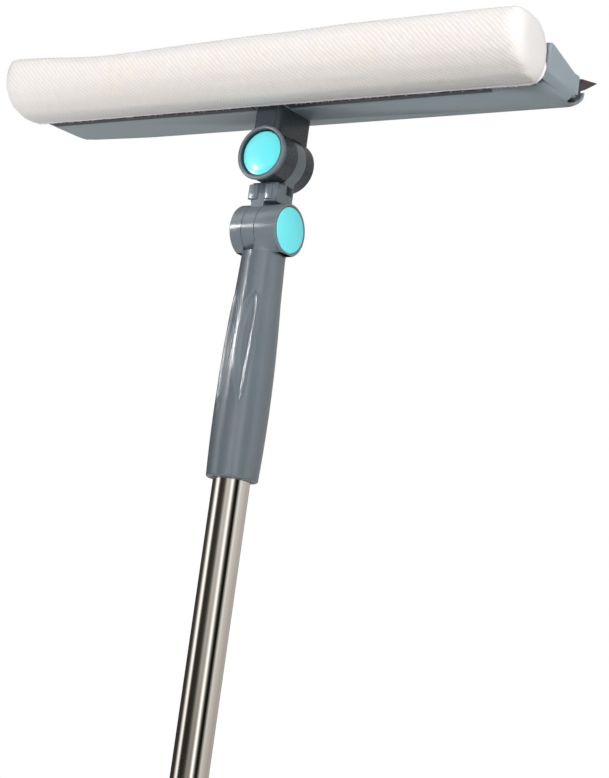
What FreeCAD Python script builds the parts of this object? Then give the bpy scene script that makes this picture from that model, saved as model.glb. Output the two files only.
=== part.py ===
# Window squeegee with a microfibre pad, a rubber blade and a telescopic pole.
# Origin: centre of the hand grip, on the pole's axis. +Z runs up the pole, -Y is the pad's side.
import FreeCAD, Part
import math
import os
import re
import Sketcher

# Driving dimensions in millimetres, kept in the sheet under these names
SIZES = {
    # steel tubes
    "pole_radius": 11.0,
    "pole_wall": 0.9,
    "pole_length": 420.0,
    "mast_radius": 9.5,
    "mast_wall": 0.8,
    "mast_shown": 200.0,      # mast tube between the twist collar and the grip socket
    "mast_overlap": 190.0,    # mast tube inside the pole tube
    "slide_fit": 0.07,        # radial clearance of the telescoping parts
    # hand grip and end cap
    "grip_length": 130.0,
    "grip_radius": 14.5,
    "grip_waist": 1.2,        # how far the middle of the grip is drawn in
    "grip_edge": 2.0,
    "cap_flange": 5.0,
    "cap_plug": 22.0,
    "eye_width": 22.0,
    "eye_height": 20.0,
    "eye_thickness": 10.0,
    "eye_hole_radius": 4.5,
    "eye_edge": 4.0,
    # clamp collet and twist collar
    "collet_wall": 2.0,
    "collet_skirt": 25.0,     # length of the collet over the pole tube
    "collet_finger": 15.0,
    "collet_seat": 2.5,
    "slit_width": 1.6,
    "collar_wall": 3.4,
    "collar_lap": 18.0,       # how far the collar reaches down over the skirt
    "collar_top": 4.0,
    "turn_fit": 0.08,
    "collar_taper": 7.0,
    "collar_draw": 2.6,       # how much the collar's top is narrower
    "collar_edge": 1.0,
    "rib_count": 20,
    "rib_width": 1.5,
    "rib_height": 0.7,
    "rib_margin": 3.0,
    # mast bush
    "bush_flange": 12.0,
    "bush_spigot": 10.0,
    # grip socket
    "socket_foot_radius": 13.2,
    "socket_belly_curve": 814.0,
    "socket_belly_height": 92.0,
    "socket_taper_radius": 12.1,
    "socket_neck_radius": 11.3,
    "socket_neck_height": 114.0,
    "socket_bore_depth": 86.0,
    "socket_core_radius": 5.0,
    "socket_roof": 4.0,
    "socket_edge": 1.2,
    "seat_gap": 0.05,         # radial clearance of glued or screwed seats
    "groove_length": 60.0,
    "groove_width": 6.5,
    "groove_depth": 0.8,
    "groove_height": 66.0,
    "groove_turn": 24.0,      # degrees from the front
    "groove_slope": 1.8,      # degrees that the grip tapers along the groove
    "socket_screw_height": 30.0,
    "socket_screw_radius": 1.4,
    "socket_screw_head": 2.8,
    # pivots, the same for swing and tilt
    "tilt_height": 129.7,     # tilt axis above the socket's foot
    "axis_spacing": 37.5,     # from the tilt axis up to the swing axis
    "barrel_radius": 13.6,
    "barrel_half": 14.4,
    "cap_ear": 7.3,
    "part_gap": 0.3,          # between parts that move past each other
    "hub_width": 7.8,
    "swing_saddle_gap": 0.5,  # between a hub and the saddle of its fork
    "tilt_saddle_gap": 1.4,
    "barrel_edge": 0.7,
    "button_radius": 11.9,
    "button_gap": 0.25,
    "button_sunk": 0.4,
    "button_thickness": 3.2,
    "button_travel": 3.8,
    "button_dip": 0.8,        # rise of the swing button's rim, and how much lower its cap is
    "button_edge": 0.8,
    "leg_radius": 1.3,
    "leg_circle": 6.0,
    "leg_count": 3,
    "web_thickness": 1.8,
    "gear_thickness": 5.3,
    "gear_root_radius": 8.4,
    "gear_tip_radius": 9.4,
    "gear_tooth": 1.2,        # width of a tooth at its tip
    "gear_teeth": 24,
    "tooth_gap": 0.12,
    "hub_floor": 1.4,
    "pin_radius": 2.5,
    "pin_fit": 0.06,
    "pin_head_radius": 4.5,
    "pin_head": 1.8,
    "pin_cap": 1.2,
    "pin_cap_radius": 4.9,
    "spring_wire": 0.35,
    "spring_radius": 4.4,
    "spring_turns": 4,
    "spring_recess": 2.6,
    # link between the two pivots
    "link_half": 8.0,
    "link_edge": 1.6,
    # neck under the head
    "neck_width": 17.0,
    "neck_edge": 3.5,
    "head_rise": 25.2,        # swing axis to the head's underside
    # head shells
    "head_length": 318.0,
    "head_wall": 2.2,
    "end_wall": 3.0,
    "end_foot_round": 10.0,   # rounds the lower edge of each end
    "end_block": 8.5,         # solid stretch at each end of the tray
    "end_front_round": 3.0,
    "head_front": 10.9,       # distance of the front face before the axis
    "head_back": 15.5,        # distance of the rear wall behind the axis
    "head_front_height": 20.5,
    "head_back_height": 15.0,
    "head_chamfer": 3.0,
    "head_edge": 1.6,
    "lip_start": 1.5,         # the rear lip starts to curl this far behind the rear wall
    "lip_radius": 8.9,
    "lip_wall": 1.9,
    "cover_wall": 2.0,
    "cover_gap": 0.15,
    "boss_radius": 3.2,
    "boss_depth": 9.0,
    "boss_height": 10.0,
    # pad
    "plate_wall": 2.6,
    "plate_base": 1.0,
    "plate_height": 17.0,
    "plate_inset": 6.0,       # shorter than the head at each end
    "hook_wall": 0.6,
    "hook_width": 4.4,
    "hook_margin": 0.8,
    "hook_inset": 16.0,
    "pad_length": 320.0,
    "pad_depth": 33.0,
    "pad_height": 33.0,
    "pad_drop": 1.9,          # how far the pad hangs below the head's underside
    "pad_front_top_round": 9.0,
    "pad_front_foot_round": 18.0,
    "pad_back_top_round": 14.0,
    "pad_back_foot_round": 5.5,
    "pad_end_round": 5.0,
    "pad_skin": 2.6,
    "pad_slit": 3.0,          # opening at the sleeve's back that the core goes in by
    "pad_slit_length": 200.0,
    # blade
    "holder_wall": 1.0,
    "holder_depth": 5.4,
    "holder_base": 3.6,
    "holder_height": 11.2,
    "holder_lip": 1.1,
    "blade_gap": 0.1,
    "blade_root": 6.2,
    "blade_reach": 15.7,
    "blade_tip": 0.4,
    "blade_rise": 3.4,        # how far the tip stands above the top of the root
    "blade_knee": 4.0,
    "blade_knee_rise": 2.0,
    # screws in the head
    "screw_radius": 1.4,
    "screw_head_radius": 2.8,
    "screw_head": 1.6,
    "screw_depth": 7.0,
    "plate_screw_inner": 45.0,
    "plate_screw_outer": 125.0,
    "neck_screw_across": 4.0,
    "neck_screw_front": 5.0,
    "neck_screw_rear": 10.0,
}

doc = FreeCAD.newDocument("squeegee")
sheet = doc.addObject("Spreadsheet::Sheet", "dims")
for row, (alias, value) in enumerate(SIZES.items(), start=1):
    sheet.set(f"A{row}", alias)
    sheet.set(f"B{row}", str(value))
    sheet.setAlias(f"B{row}", alias)
doc.recompute()


def bound(expression):
    """The expression with each size's name pointed at the sheet."""
    return re.sub(r"[a-z_]+", lambda m: "dims." + m.group() if m.group() in SIZES else m.group(), expression)


def number(expression):
    return float(sheet.evalExpression(bound(expression)))


def bind(thing, **expressions):
    for name, expression in expressions.items():
        thing.setExpression(name, bound(expression))
    return thing


def place(thing, x="0", y="0", z="0", turn=None):
    if turn is not None:
        thing.Placement = FreeCAD.Placement(FreeCAD.Vector(), turn)
    for axis, expression in (("x", x), ("y", y), ("z", z)):
        thing.setExpression("Placement.Base." + axis, bound(expression))
    return thing


# Part primitives and booleans

def cylinder(name, radius, height, **spot):
    thing = bind(doc.addObject("Part::Cylinder", name), Radius=radius, Height=height)
    return place(thing, **spot)


def rod_between(name, radius, low, high, **spot):
    """A cylinder along Z from one height to another."""
    return cylinder(name, radius, f"({high}) - ({low})", z=low, **spot)


def slab(name, x, y, z):
    """A box between the given pairs of expressions."""
    thing = doc.addObject("Part::Box", name)
    bind(thing, Length=f"({x[1]}) - ({x[0]})", Width=f"({y[1]}) - ({y[0]})", Height=f"({z[1]}) - ({z[0]})")
    return place(thing, x=x[0], y=y[0], z=z[0])


def join(name, *pieces):
    thing = doc.addObject("Part::MultiFuse", name)
    thing.Shapes = list(pieces)
    thing.Refine = True
    return thing


def cut(name, base, *tools):
    thing = doc.addObject("Part::Cut", name)
    thing.Base = base
    thing.Tool = tools[0] if len(tools) == 1 else join(name + "_tools", *tools)
    thing.Refine = True
    return thing


def round_off(name, base, radius, wanted):
    """Part fillet on the edges that the test picks."""
    doc.recompute()
    size = number(radius)
    thing = doc.addObject("Part::Fillet", name)
    thing.Base = base
    thing.Edges = [(i, size, size) for i, edge in enumerate(base.Shape.Edges, start=1) if wanted(edge)]
    return thing


# PartDesign bodies

def origin_plane(body, role):
    return next(feature for feature in body.Origin.OriginFeatures if feature.Role == role)


def arc_through(first, last, radius):
    """The arc from first to last, turning left for a positive radius and right for a negative one."""
    chord = last - first
    across = FreeCAD.Vector(-chord.y, chord.x, 0).normalize()
    reach = (radius ** 2 - (chord.Length / 2) ** 2) ** 0.5
    side = 1 if radius > 0 else -1
    centre = first + chord * 0.5 + across * reach * side
    ends = (first, last) if radius > 0 else (last, first)
    angles = [math.atan2(end.y - centre.y, end.x - centre.x) for end in ends]
    circle = Part.Circle(centre, FreeCAD.Vector(0, 0, 1), abs(radius))
    return Part.ArcOfCircle(circle, angles[0], angles[1])


def outline(body, name, role, points):
    """A closed sketch through points bound to the sheet; a third entry is the radius of the arc that
    leaves the point, positive where the outline turns left."""
    sketch = body.newObject("Sketcher::SketchObject", name)
    sketch.AttachmentSupport = [(origin_plane(body, role), "")]
    sketch.MapMode = "FlatFace"
    corners = [FreeCAD.Vector(number(point[0]), number(point[1]), 0) for point in points]
    count = len(points)
    ends = []
    for i, point in enumerate(points):
        first, last = corners[i], corners[(i + 1) % count]
        if len(point) == 3:
            radius = number(point[2])
            sketch.addGeometry(arc_through(first, last, radius), False)
            ends.append((1, 2) if radius > 0 else (2, 1))
        else:
            sketch.addGeometry(Part.LineSegment(first, last), False)
            ends.append((1, 2))
    for i in range(count):
        after = (i + 1) % count
        sketch.addConstraint(Sketcher.Constraint("Coincident", i, ends[i][1], after, ends[after][0]))
    for i, point in enumerate(points):
        for kind, expression in (("DistanceX", point[0]), ("DistanceY", point[1])):
            index = sketch.addConstraint(Sketcher.Constraint(kind, i, ends[i][0], number(expression)))
            sketch.setExpression(f"Constraints[{index}]", bound(expression))
        if len(point) == 3:
            index = sketch.addConstraint(Sketcher.Constraint("Radius", i, abs(number(point[2]))))
            sketch.setExpression(f"Constraints[{index}]", bound(f"abs({point[2]})"))
    return sketch


def lathe(name, points):
    """A body turned about Z from an outline of (radius, height) points."""
    body = doc.addObject("PartDesign::Body", name)
    sketch = outline(body, name + "_section", "XZ_Plane", points)
    turned = body.newObject("PartDesign::Revolution", name + "_turned")
    turned.Profile = sketch
    turned.ReferenceAxis = (sketch, ["V_Axis"])
    turned.Angle = 360
    return body


def extrude(name, role, points, length):
    """A body padded both ways from one of its origin planes."""
    body = doc.addObject("PartDesign::Body", name)
    sketch = outline(body, name + "_section", role, points)
    pad = body.newObject("PartDesign::Pad", name + "_pad")
    pad.Profile = sketch
    pad.Midplane = True
    bind(pad, Length=length)
    return body


def pocket(body, name, role, points, length):
    """A pocket cut both ways from one of the body's origin planes."""
    doc.recompute()
    before = body.Shape.Volume
    sketch = outline(body, name + "_section", role, points)
    hollow = body.newObject("PartDesign::Pocket", name)
    hollow.Profile = sketch
    hollow.Midplane = True
    bind(hollow, Length=length)
    doc.recompute()
    if body.Shape.Volume >= before:
        raise RuntimeError(name + " cut nothing")


def round_edges(body, name, radius, wanted):
    """PartDesign fillet on the edges that the test picks."""
    doc.recompute()
    tip = body.Tip
    edges = [f"Edge{i}" for i, edge in enumerate(tip.Shape.Edges, start=1) if wanted(edge)]
    fillet = body.newObject("PartDesign::Fillet", name)
    fillet.Base = (tip, edges)
    bind(fillet, Radius=radius)
    doc.recompute()


NEAR = 0.01


def is_circle(edge, radius, height):
    """Whether an edge is a circle about Z of this radius at this height."""
    if edge.Curve.TypeId != "Part::GeomCircle":
        return False
    centre = edge.Curve.Center
    return (abs(edge.Curve.Radius - number(radius)) < NEAR and abs(centre.z - number(height)) < NEAR
            and abs(centre.x) < NEAR and abs(centre.y) < NEAR)


def runs_along_x(edge, y, z):
    """Whether an edge is a straight run along X through this point."""
    first, last = edge.Vertexes[0].Point, edge.Vertexes[-1].Point
    return (abs(first.x - last.x) > 1 and abs(first.y - last.y) < NEAR and abs(first.z - last.z) < NEAR
            and abs(first.y - number(y)) < NEAR and abs(first.z - number(z)) < NEAR)


# Heights above the origin that several parts share
POLE_FOOT = "(-grip_length / 2)"
POLE_TOP = f"({POLE_FOOT} + pole_length)"
COLLET_TOP = f"({POLE_TOP} + collet_seat + collet_finger)"
COLLAR_TOP = f"({COLLET_TOP} + part_gap + collar_top)"
SOCKET_FOOT = f"({COLLAR_TOP} + mast_shown)"
TILT_AXIS = f"({SOCKET_FOOT} + tilt_height)"
SWING_AXIS = f"({TILT_AXIS} + axis_spacing)"
UNDERSIDE = f"({SWING_AXIS} + head_rise)"
MAST_FOOT = f"({POLE_TOP} - mast_overlap)"
MAST_TOP = f"({SOCKET_FOOT} + socket_bore_depth)"

# Stations along a pivot, from its middle towards the button
EAR_END = "(-barrel_half + cap_ear)"
HUB_FOOT = f"({EAR_END} + part_gap)"
HUB_TOP = f"({HUB_FOOT} + hub_width)"
EAR_FOOT = f"({HUB_TOP} + part_gap)"
POCKET_FLOOR = f"({HUB_FOOT} + hub_floor)"
CAP_TOP = "(barrel_half - button_sunk)"
CAP_FOOT = f"({CAP_TOP} - button_thickness)"
RIM_RISE = {"swing": "button_dip", "tilt": "0"}
RECESS_FLOOR = f"({CAP_FOOT} - button_travel - part_gap)"
WEB_FOOT = f"({RECESS_FLOOR} - web_thickness)"
GEAR_TOP = f"({WEB_FOOT} - part_gap)"
GEAR_FOOT = f"({GEAR_TOP} - gear_thickness)"
SPRING_TOP = f"({GEAR_FOOT} + spring_recess)"
PIN_SEAT = "(-barrel_half + pin_cap + pin_head)"

# A pivot is modelled with its button towards +Z and the pole's direction along +Y,
# then turned: the swing pivot's button faces the front, the tilt pivot's faces +X.
TURN = {
    "swing": FreeCAD.Rotation(FreeCAD.Vector(1, 0, 0), 90),
    "tilt": FreeCAD.Rotation(FreeCAD.Vector(1, 1, 1), 120),
}
HEIGHT = {"swing": SWING_AXIS, "tilt": TILT_AXIS}


def ring_of(body, name, points, low, length, count):
    """A full circle of raised teeth or ribs on a turned body."""
    section = outline(body, name + "_section", "XY_Plane", points)
    section.setExpression("AttachmentOffset.Base.z", bound(low))
    pad = body.newObject("PartDesign::Pad", name + "_first")
    pad.Profile = section
    bind(pad, Length=length)
    pattern = body.newObject("PartDesign::PolarPattern", name)
    pattern.Originals = [pad]
    pattern.Axis = (origin_plane(body, "Z_Axis"), [""])
    pattern.Angle = 360
    bind(pattern, Occurrences=count)
    body.Tip = pattern


def toothed(name, growth, low, high, core):
    """A toothed disc: a turned core and its ring of teeth."""
    body = lathe(name, core)
    inner = "gear_root_radius - tooth_gap * 4"
    tip = f"gear_tip_radius + ({growth})"
    ring_of(body, name + "_teeth", [
        (inner, f"-gear_tooth - ({growth})"), (tip, f"-gear_tooth / 2 - ({growth})"),
        (tip, f"gear_tooth / 2 + ({growth})"), (inner, f"gear_tooth + ({growth})"),
    ], low, f"({high}) - ({low})", "gear_teeth")
    return body


def legs(name, growth, low, high):
    """Cylinders on the button's leg circle."""
    pieces = []
    for i in range(int(number("leg_count"))):
        angle = f"{i} * 360 deg / leg_count + 90 deg"
        pieces.append(cylinder(f"{name}_{i + 1}", f"leg_radius + ({growth})", f"({high}) - ({low})",
                               x=f"leg_circle * cos({angle})", y=f"leg_circle * sin({angle})", z=low))
    return pieces


def set_pivot(thing, kind):
    return place(thing, z=HEIGHT[kind], turn=TURN[kind])


def coil_spring(name, low, high):
    """A round wire wound about Z between two heights."""
    body = doc.addObject("PartDesign::Body", name)
    wire = body.newObject("Sketcher::SketchObject", name + "_wire")
    wire.AttachmentSupport = [(origin_plane(body, "XZ_Plane"), "")]
    wire.MapMode = "FlatFace"
    foot = f"({low}) + spring_wire"
    rise = f"({high}) - ({low}) - 2 * spring_wire"
    centre = FreeCAD.Vector(number("spring_radius"), number(foot), 0)
    wire.addGeometry(Part.Circle(centre, FreeCAD.Vector(0, 0, 1), number("spring_wire")), False)
    for kind, at, expression in (("DistanceX", (0, 3), "spring_radius"), ("DistanceY", (0, 3), foot),
                                 ("Radius", (0,), "spring_wire")):
        index = wire.addConstraint(Sketcher.Constraint(kind, *at, number(expression)))
        wire.setExpression(f"Constraints[{index}]", bound(expression))
    coil = body.newObject("PartDesign::AdditiveHelix", name + "_coil")
    coil.Profile = wire
    coil.ReferenceAxis = (wire, ["V_Axis"])
    bind(coil, Height=rise, Pitch=f"({rise}) / spring_turns")
    return body


def spline_tool(kind):
    """The toothed space that a pivot's hub and button ear share."""
    return toothed(kind + "_spline", "tooth_gap", POCKET_FLOOR, WEB_FOOT, [
        ("0", POCKET_FLOOR), ("gear_root_radius + tooth_gap", POCKET_FLOOR),
        ("gear_root_radius + tooth_gap", WEB_FOOT), ("0", WEB_FOOT)])


def pivot_parts(kind):
    """Button, lock gear, spring, pin and pin cap of one pivot."""
    gear = toothed(kind + "_lock_gear", "0", GEAR_FOOT, GEAR_TOP, [
        ("pin_radius + pin_fit", GEAR_FOOT), ("spring_radius - spring_wire * 3", GEAR_FOOT),
        ("spring_radius - spring_wire * 3", SPRING_TOP), ("spring_radius + spring_wire * 3", SPRING_TOP),
        ("spring_radius + spring_wire * 3", GEAR_FOOT), ("gear_root_radius", GEAR_FOOT),
        ("gear_root_radius", GEAR_TOP), ("pin_radius + pin_fit", GEAR_TOP)])
    cap_top = f"({CAP_TOP} - {RIM_RISE[kind]})"
    cap = lathe(kind + "_button_cap", [
        ("0", CAP_FOOT), ("button_radius", CAP_FOOT), ("button_radius", cap_top), ("0", cap_top)])
    round_edges(cap, kind + "_button_round", "button_edge", lambda e: is_circle(e, "button_radius", cap_top))
    button = join(kind + "_button", cap, *legs(kind + "_button_leg", "0", GEAR_TOP, CAP_FOOT))
    pin = lathe(kind + "_pin", [
        ("0", "-barrel_half + pin_cap"), ("pin_head_radius", "-barrel_half + pin_cap"),
        ("pin_head_radius", PIN_SEAT), ("pin_radius", PIN_SEAT),
        ("pin_radius", RECESS_FLOOR), ("0", RECESS_FLOOR)])
    pin_cap = lathe(kind + "_pin_cap", [
        ("0", "-barrel_half"), ("pin_cap_radius", "-barrel_half"),
        ("pin_cap_radius", "-barrel_half + pin_cap"), ("0", "-barrel_half + pin_cap")])
    round_edges(pin_cap, kind + "_pin_cap_round", "pin_cap / 3",
                lambda e: is_circle(e, "pin_cap_radius", "-barrel_half"))
    spring = coil_spring(kind + "_spring", POCKET_FLOOR, SPRING_TOP)
    return [set_pivot(thing, kind) for thing in (button, gear, spring, pin, pin_cap)]


def pivot_hub(kind, spline):
    """The link's hub in a pivot, with its half of the toothed space."""
    blank = rod_between(kind + "_hub_blank", "barrel_radius", HUB_FOOT, HUB_TOP)
    bore = rod_between(kind + "_hub_bore", "pin_radius + pin_fit", HUB_FOOT, HUB_TOP)
    return set_pivot(cut(kind + "_hub", blank, spline, bore), kind)


def fork_ears(kind):
    """The two ears of a fork with their outer rims rounded."""
    rim = f"barrel_half + {RIM_RISE[kind]}"
    button_ear = rod_between(kind + "_button_ear", "barrel_radius", EAR_FOOT, rim)
    cap_ear = rod_between(kind + "_cap_ear", "barrel_radius", "-barrel_half", EAR_END)
    ears = [round_off(kind + "_button_ear_round", button_ear, "barrel_edge",
                      lambda e: is_circle(e, "barrel_radius", rim)),
            round_off(kind + "_cap_ear_round", cap_ear, "barrel_edge",
                      lambda e: is_circle(e, "barrel_radius", "-barrel_half"))]
    return set_pivot(join(kind + "_ears", *ears), kind)


def fork_tools(kind, spline):
    """What is cut from a fork: saddle, button recess, spline, leg holes and the pin's seat."""
    return set_pivot(join(
        kind + "_fork_tools",
        rod_between(kind + "_saddle", f"barrel_radius + {kind}_saddle_gap", EAR_END, EAR_FOOT),
        rod_between(kind + "_recess", "button_radius + button_gap", RECESS_FLOOR, "barrel_half * 2"),
        rod_between(kind + "_pin_hole", "pin_radius + seat_gap", "-barrel_half", RECESS_FLOOR),
        rod_between(kind + "_head_hole", "pin_cap_radius + seat_gap", "-barrel_half * 2", PIN_SEAT),
        spline,
        *legs(kind + "_leg_hole", "part_gap", EAR_FOOT, "barrel_half")), kind)


def joint_link(splines):
    """The double hub: one hub in each fork, the block between them and a web to each hub."""
    block = slab("link_block_blank", ("-link_half", "link_half"), ("-link_half", "link_half"),
                 (f"{TILT_AXIS} + barrel_radius + part_gap", f"{SWING_AXIS} - barrel_radius - part_gap"))
    block = round_off("link_block", block, "link_edge",
                      lambda e: abs(e.Vertexes[0].Point.z - e.Vertexes[-1].Point.z) > 1)
    tilt_web = slab("link_tilt_web", (HUB_FOOT, HUB_TOP), ("-link_half", "link_half"),
                    (f"{TILT_AXIS} + barrel_radius * 0.8", f"{TILT_AXIS} + barrel_radius + 1"))
    swing_web = slab("link_swing_web", ("-link_half", "link_half"), (f"-{HUB_TOP}", f"-{HUB_FOOT}"),
                     (f"{SWING_AXIS} - barrel_radius - 1", f"{SWING_AXIS} - barrel_radius * 0.8"))
    hubs = [pivot_hub(kind, spline) for kind, spline in splines.items()]
    return join("joint_link", *hubs, block, tilt_web, swing_web)


TO_FRONT = FreeCAD.Rotation(FreeCAD.Vector(1, 0, 0), 90)    # +Z of a tool turned to -Y
TO_REAR = FreeCAD.Rotation(FreeCAD.Vector(1, 0, 0), -90)
DOWNWARD = FreeCAD.Rotation(FreeCAD.Vector(1, 0, 0), 180)

NECK_SCREWS = [(x, y) for x in ("-neck_screw_across", "neck_screw_across")
               for y in ("-neck_screw_front", "neck_screw_rear")]
PLATE_SCREWS = ["-plate_screw_outer", "-plate_screw_inner", "plate_screw_inner", "plate_screw_outer"]
HEAD_FLOOR = f"({UNDERSIDE} + head_wall)"
PLATE_FRONT = "(-head_front - plate_wall)"
CHEEK_FRONT = f"({PLATE_FRONT} - hook_wall)"
PAD_BACK = f"({CHEEK_FRONT} - part_gap)"
PAD_FOOT = f"({UNDERSIDE} - pad_drop)"
BOSS_AXIS = f"({UNDERSIDE} + boss_height)"


def screw_group(name, spots, length, turn):
    """Identical screws with their heads' tops at the given spots, pointing along the turned +Z."""
    pieces = []
    for i, (x, y, z) in enumerate(spots, start=1):
        screw = lathe(f"{name}_blank_{i}", [
            ("0", "0"), ("screw_head_radius", "0"), ("screw_head_radius", "screw_head"),
            ("screw_radius", "screw_head"), ("screw_radius", length), ("0", length)])
        round_edges(screw, f"{name}_round_{i}", "screw_head / 3",
                    lambda e: is_circle(e, "screw_head_radius", "0"))
        pieces.append(place(screw, x=x, y=y, z=z, turn=turn))
    return join(name, *pieces)


def floor_holes(name, low, high):
    """Holes for the screws that join the head's floor and the neck."""
    return [rod_between(f"{name}_{i}", "screw_radius + seat_gap", low, high, x=x, y=y)
            for i, (x, y) in enumerate(NECK_SCREWS, start=1)]


def head_bracket(spline):
    """The neck under the head with the fork of the swing pivot."""
    foot = f"{SWING_AXIS} + barrel_radius / 3"
    neck = slab("neck_block", ("-neck_width / 2", "neck_width / 2"), ("-barrel_half", "barrel_half"),
                (foot, UNDERSIDE))
    neck = round_off("neck", neck, "neck_edge",
                     lambda e: abs(e.Vertexes[0].Point.z - e.Vertexes[-1].Point.z) > 1)
    blank = join("bracket_blank", neck, fork_ears("swing"))
    holes = floor_holes("neck_screw_hole", f"{UNDERSIDE} - screw_depth", UNDERSIDE)
    return cut("head_bracket", blank, fork_tools("swing", spline), *holes)


def grip_socket(spline):
    """The tapered handle with the fork of the tilt pivot on top and the bore for the mast tube."""
    foot = SOCKET_FOOT
    top = f"{TILT_AXIS} - barrel_radius / 3"
    blank = lathe("socket_blank", [
        ("0", foot), ("socket_foot_radius", foot, "socket_belly_curve"),
        ("socket_taper_radius", f"{foot} + socket_belly_height"),
        ("socket_neck_radius", f"{foot} + socket_neck_height"),
        ("socket_neck_radius", top), ("0", top)])
    round_edges(blank, "socket_foot_round", "socket_edge", lambda e: is_circle(e, "socket_foot_radius", foot))
    bore = rod_between("socket_bore", "mast_radius + seat_gap", foot, MAST_TOP)
    core = rod_between("socket_core", "socket_core_radius", foot,
                       f"{TILT_AXIS} - barrel_radius - tilt_saddle_gap - socket_roof")
    screw_z = f"{foot} + socket_screw_height"
    hole = cylinder("socket_screw_hole", "socket_screw_radius + seat_gap", "socket_foot_radius * 2",
                    z=screw_z, turn=TO_REAR)
    recess = cylinder("socket_screw_recess", "socket_screw_head + seat_gap", "socket_foot_radius",
                      y="socket_foot_radius - screw_head", z=screw_z, turn=TO_REAR)
    grooves = [groove("socket_groove_right", 1), groove("socket_groove_left", -1)]
    return cut("grip_socket", join("socket_with_ears", blank, fork_ears("tilt")), fork_tools("tilt", spline),
               bore, core, hole, recess, *grooves)


def groove(name, side):
    """A shallow leaf-shaped groove along the grip, beside its front."""
    curve = "((groove_length / 2) ^ 2 + (groove_width / 2) ^ 2) / groove_width"
    tool = extrude(name, "XZ_Plane", [
        ("0", "-groove_length / 2", curve), ("0", "groove_length / 2", curve)], "groove_depth * 8")
    angle = number("groove_turn") * side
    slope = FreeCAD.Rotation(FreeCAD.Vector(1, 0, 0), -number("groove_slope"))
    reach = "(socket_taper_radius + socket_foot_radius) / 2 + groove_depth * 3.8"
    turn = FreeCAD.Rotation(FreeCAD.Vector(0, 0, 1), angle) * slope
    return place(tool, x=f"({reach}) * sin({side} * groove_turn * 1 deg)",
                 y=f"-({reach}) * cos(groove_turn * 1 deg)", z=f"{SOCKET_FOOT} + groove_height", turn=turn)


def socket_screw():
    """Set from the rear through the socket and the mast tube's wall."""
    length = "socket_foot_radius - mast_radius + mast_wall * 2"
    screw = lathe("socket_screw", [
        ("0", "0"), ("socket_screw_head", "0"), ("socket_screw_head", "screw_head"),
        ("socket_screw_radius", "screw_head"), ("socket_screw_radius", length), ("0", length)])
    return place(screw, y="socket_foot_radius", z=f"{SOCKET_FOOT} + socket_screw_height", turn=TO_FRONT)


def tube(name, outer, wall, low, high):
    return lathe(name, [(f"{outer} - {wall}", low), (outer, low), (outer, high), (f"{outer} - {wall}", high)])


def mast_tube():
    blank = tube("mast_blank", "mast_radius", "mast_wall", MAST_FOOT, MAST_TOP)
    hole = cylinder("mast_screw_hole", "socket_screw_radius + seat_gap", "mast_radius * 2",
                    z=f"{SOCKET_FOOT} + socket_screw_height", turn=TO_REAR)
    return cut("mast_tube", blank, hole)


def mast_bush():
    flange = "pole_radius - pole_wall - slide_fit"
    spigot = "mast_radius - mast_wall - seat_gap"
    bush = lathe("mast_bush", [
        ("0", f"{MAST_FOOT} - bush_flange"), (flange, f"{MAST_FOOT} - bush_flange"), (flange, MAST_FOOT),
        (spigot, MAST_FOOT), (spigot, f"{MAST_FOOT} + bush_spigot"), ("0", f"{MAST_FOOT} + bush_spigot")])
    return bush


def clamp_collet():
    """Sleeve over the pole tube's top, with slit fingers round the mast tube."""
    outer, finger = "pole_radius + collet_wall", "mast_radius + collet_wall"
    inner, bore = "pole_radius + seat_gap", "mast_radius + slide_fit"
    blank = lathe("collet_blank", [
        (inner, f"{POLE_TOP} - collet_skirt"), (outer, f"{POLE_TOP} - collet_skirt"),
        (outer, f"{POLE_TOP} + collet_seat"), (finger, f"{POLE_TOP} + collet_seat"), (finger, COLLET_TOP),
        (bore, COLLET_TOP), (bore, POLE_TOP), (inner, POLE_TOP)])
    reach, span = ("-pole_radius * 2", "pole_radius * 2"), ("-slit_width / 2", "slit_width / 2")
    heights = (f"{POLE_TOP} + collet_seat + part_gap", f"{COLLET_TOP} + 1")
    return cut("clamp_collet", blank, slab("collet_slit_x", reach, span, heights),
               slab("collet_slit_y", span, reach, heights))


def twist_collar():
    """The ribbed nut that squeezes the collet's fingers."""
    outer = "pole_radius + collet_wall + collar_wall"
    skirt = "pole_radius + collet_wall + turn_fit"
    finger = "mast_radius + collet_wall + part_gap"
    mouth = "mast_radius + part_gap"
    foot = f"{POLE_TOP} - collar_lap"
    step = f"{POLE_TOP} + collet_seat + part_gap"
    body = lathe("twist_collar", [
        (skirt, foot), (outer, foot), (outer, f"{COLLAR_TOP} - collar_taper"),
        (f"{outer} - collar_draw", COLLAR_TOP), (mouth, COLLAR_TOP),
        (mouth, f"{COLLET_TOP} + part_gap"), (finger, f"{COLLET_TOP} + part_gap"),
        (finger, step), (skirt, step)])
    round_edges(body, "collar_foot_round", "collar_edge", lambda e: is_circle(e, outer, foot))
    round_edges(body, "collar_top_round", "collar_edge",
                lambda e: is_circle(e, f"{outer} - collar_draw", COLLAR_TOP))
    ring_of(body, "collar_ribs", [
        (f"{outer} - rib_height", "-rib_width"), (f"{outer} + rib_height", "-rib_width / 2"),
        (f"{outer} + rib_height", "rib_width / 2"), (f"{outer} - rib_height", "rib_width")],
        f"{foot} + rib_margin", f"{COLLAR_TOP} - collar_taper - 2 * rib_margin - ({foot})", "rib_count")
    return body


def hand_grip():
    """Soft sleeve, drawn in a little at its waist."""
    half = "grip_length / 2"
    curve = "((grip_length / 2) ^ 2 + grip_waist ^ 2) / (2 * grip_waist)"
    inner = "pole_radius + seat_gap"
    body = lathe("hand_grip", [
        (inner, f"-{half}"), ("grip_radius", f"-{half}", f"-{curve}"), ("grip_radius", half), (inner, half)])
    round_edges(body, "hand_grip_round", "grip_edge", lambda e: is_circle(e, "grip_radius", half))
    return body


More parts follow.
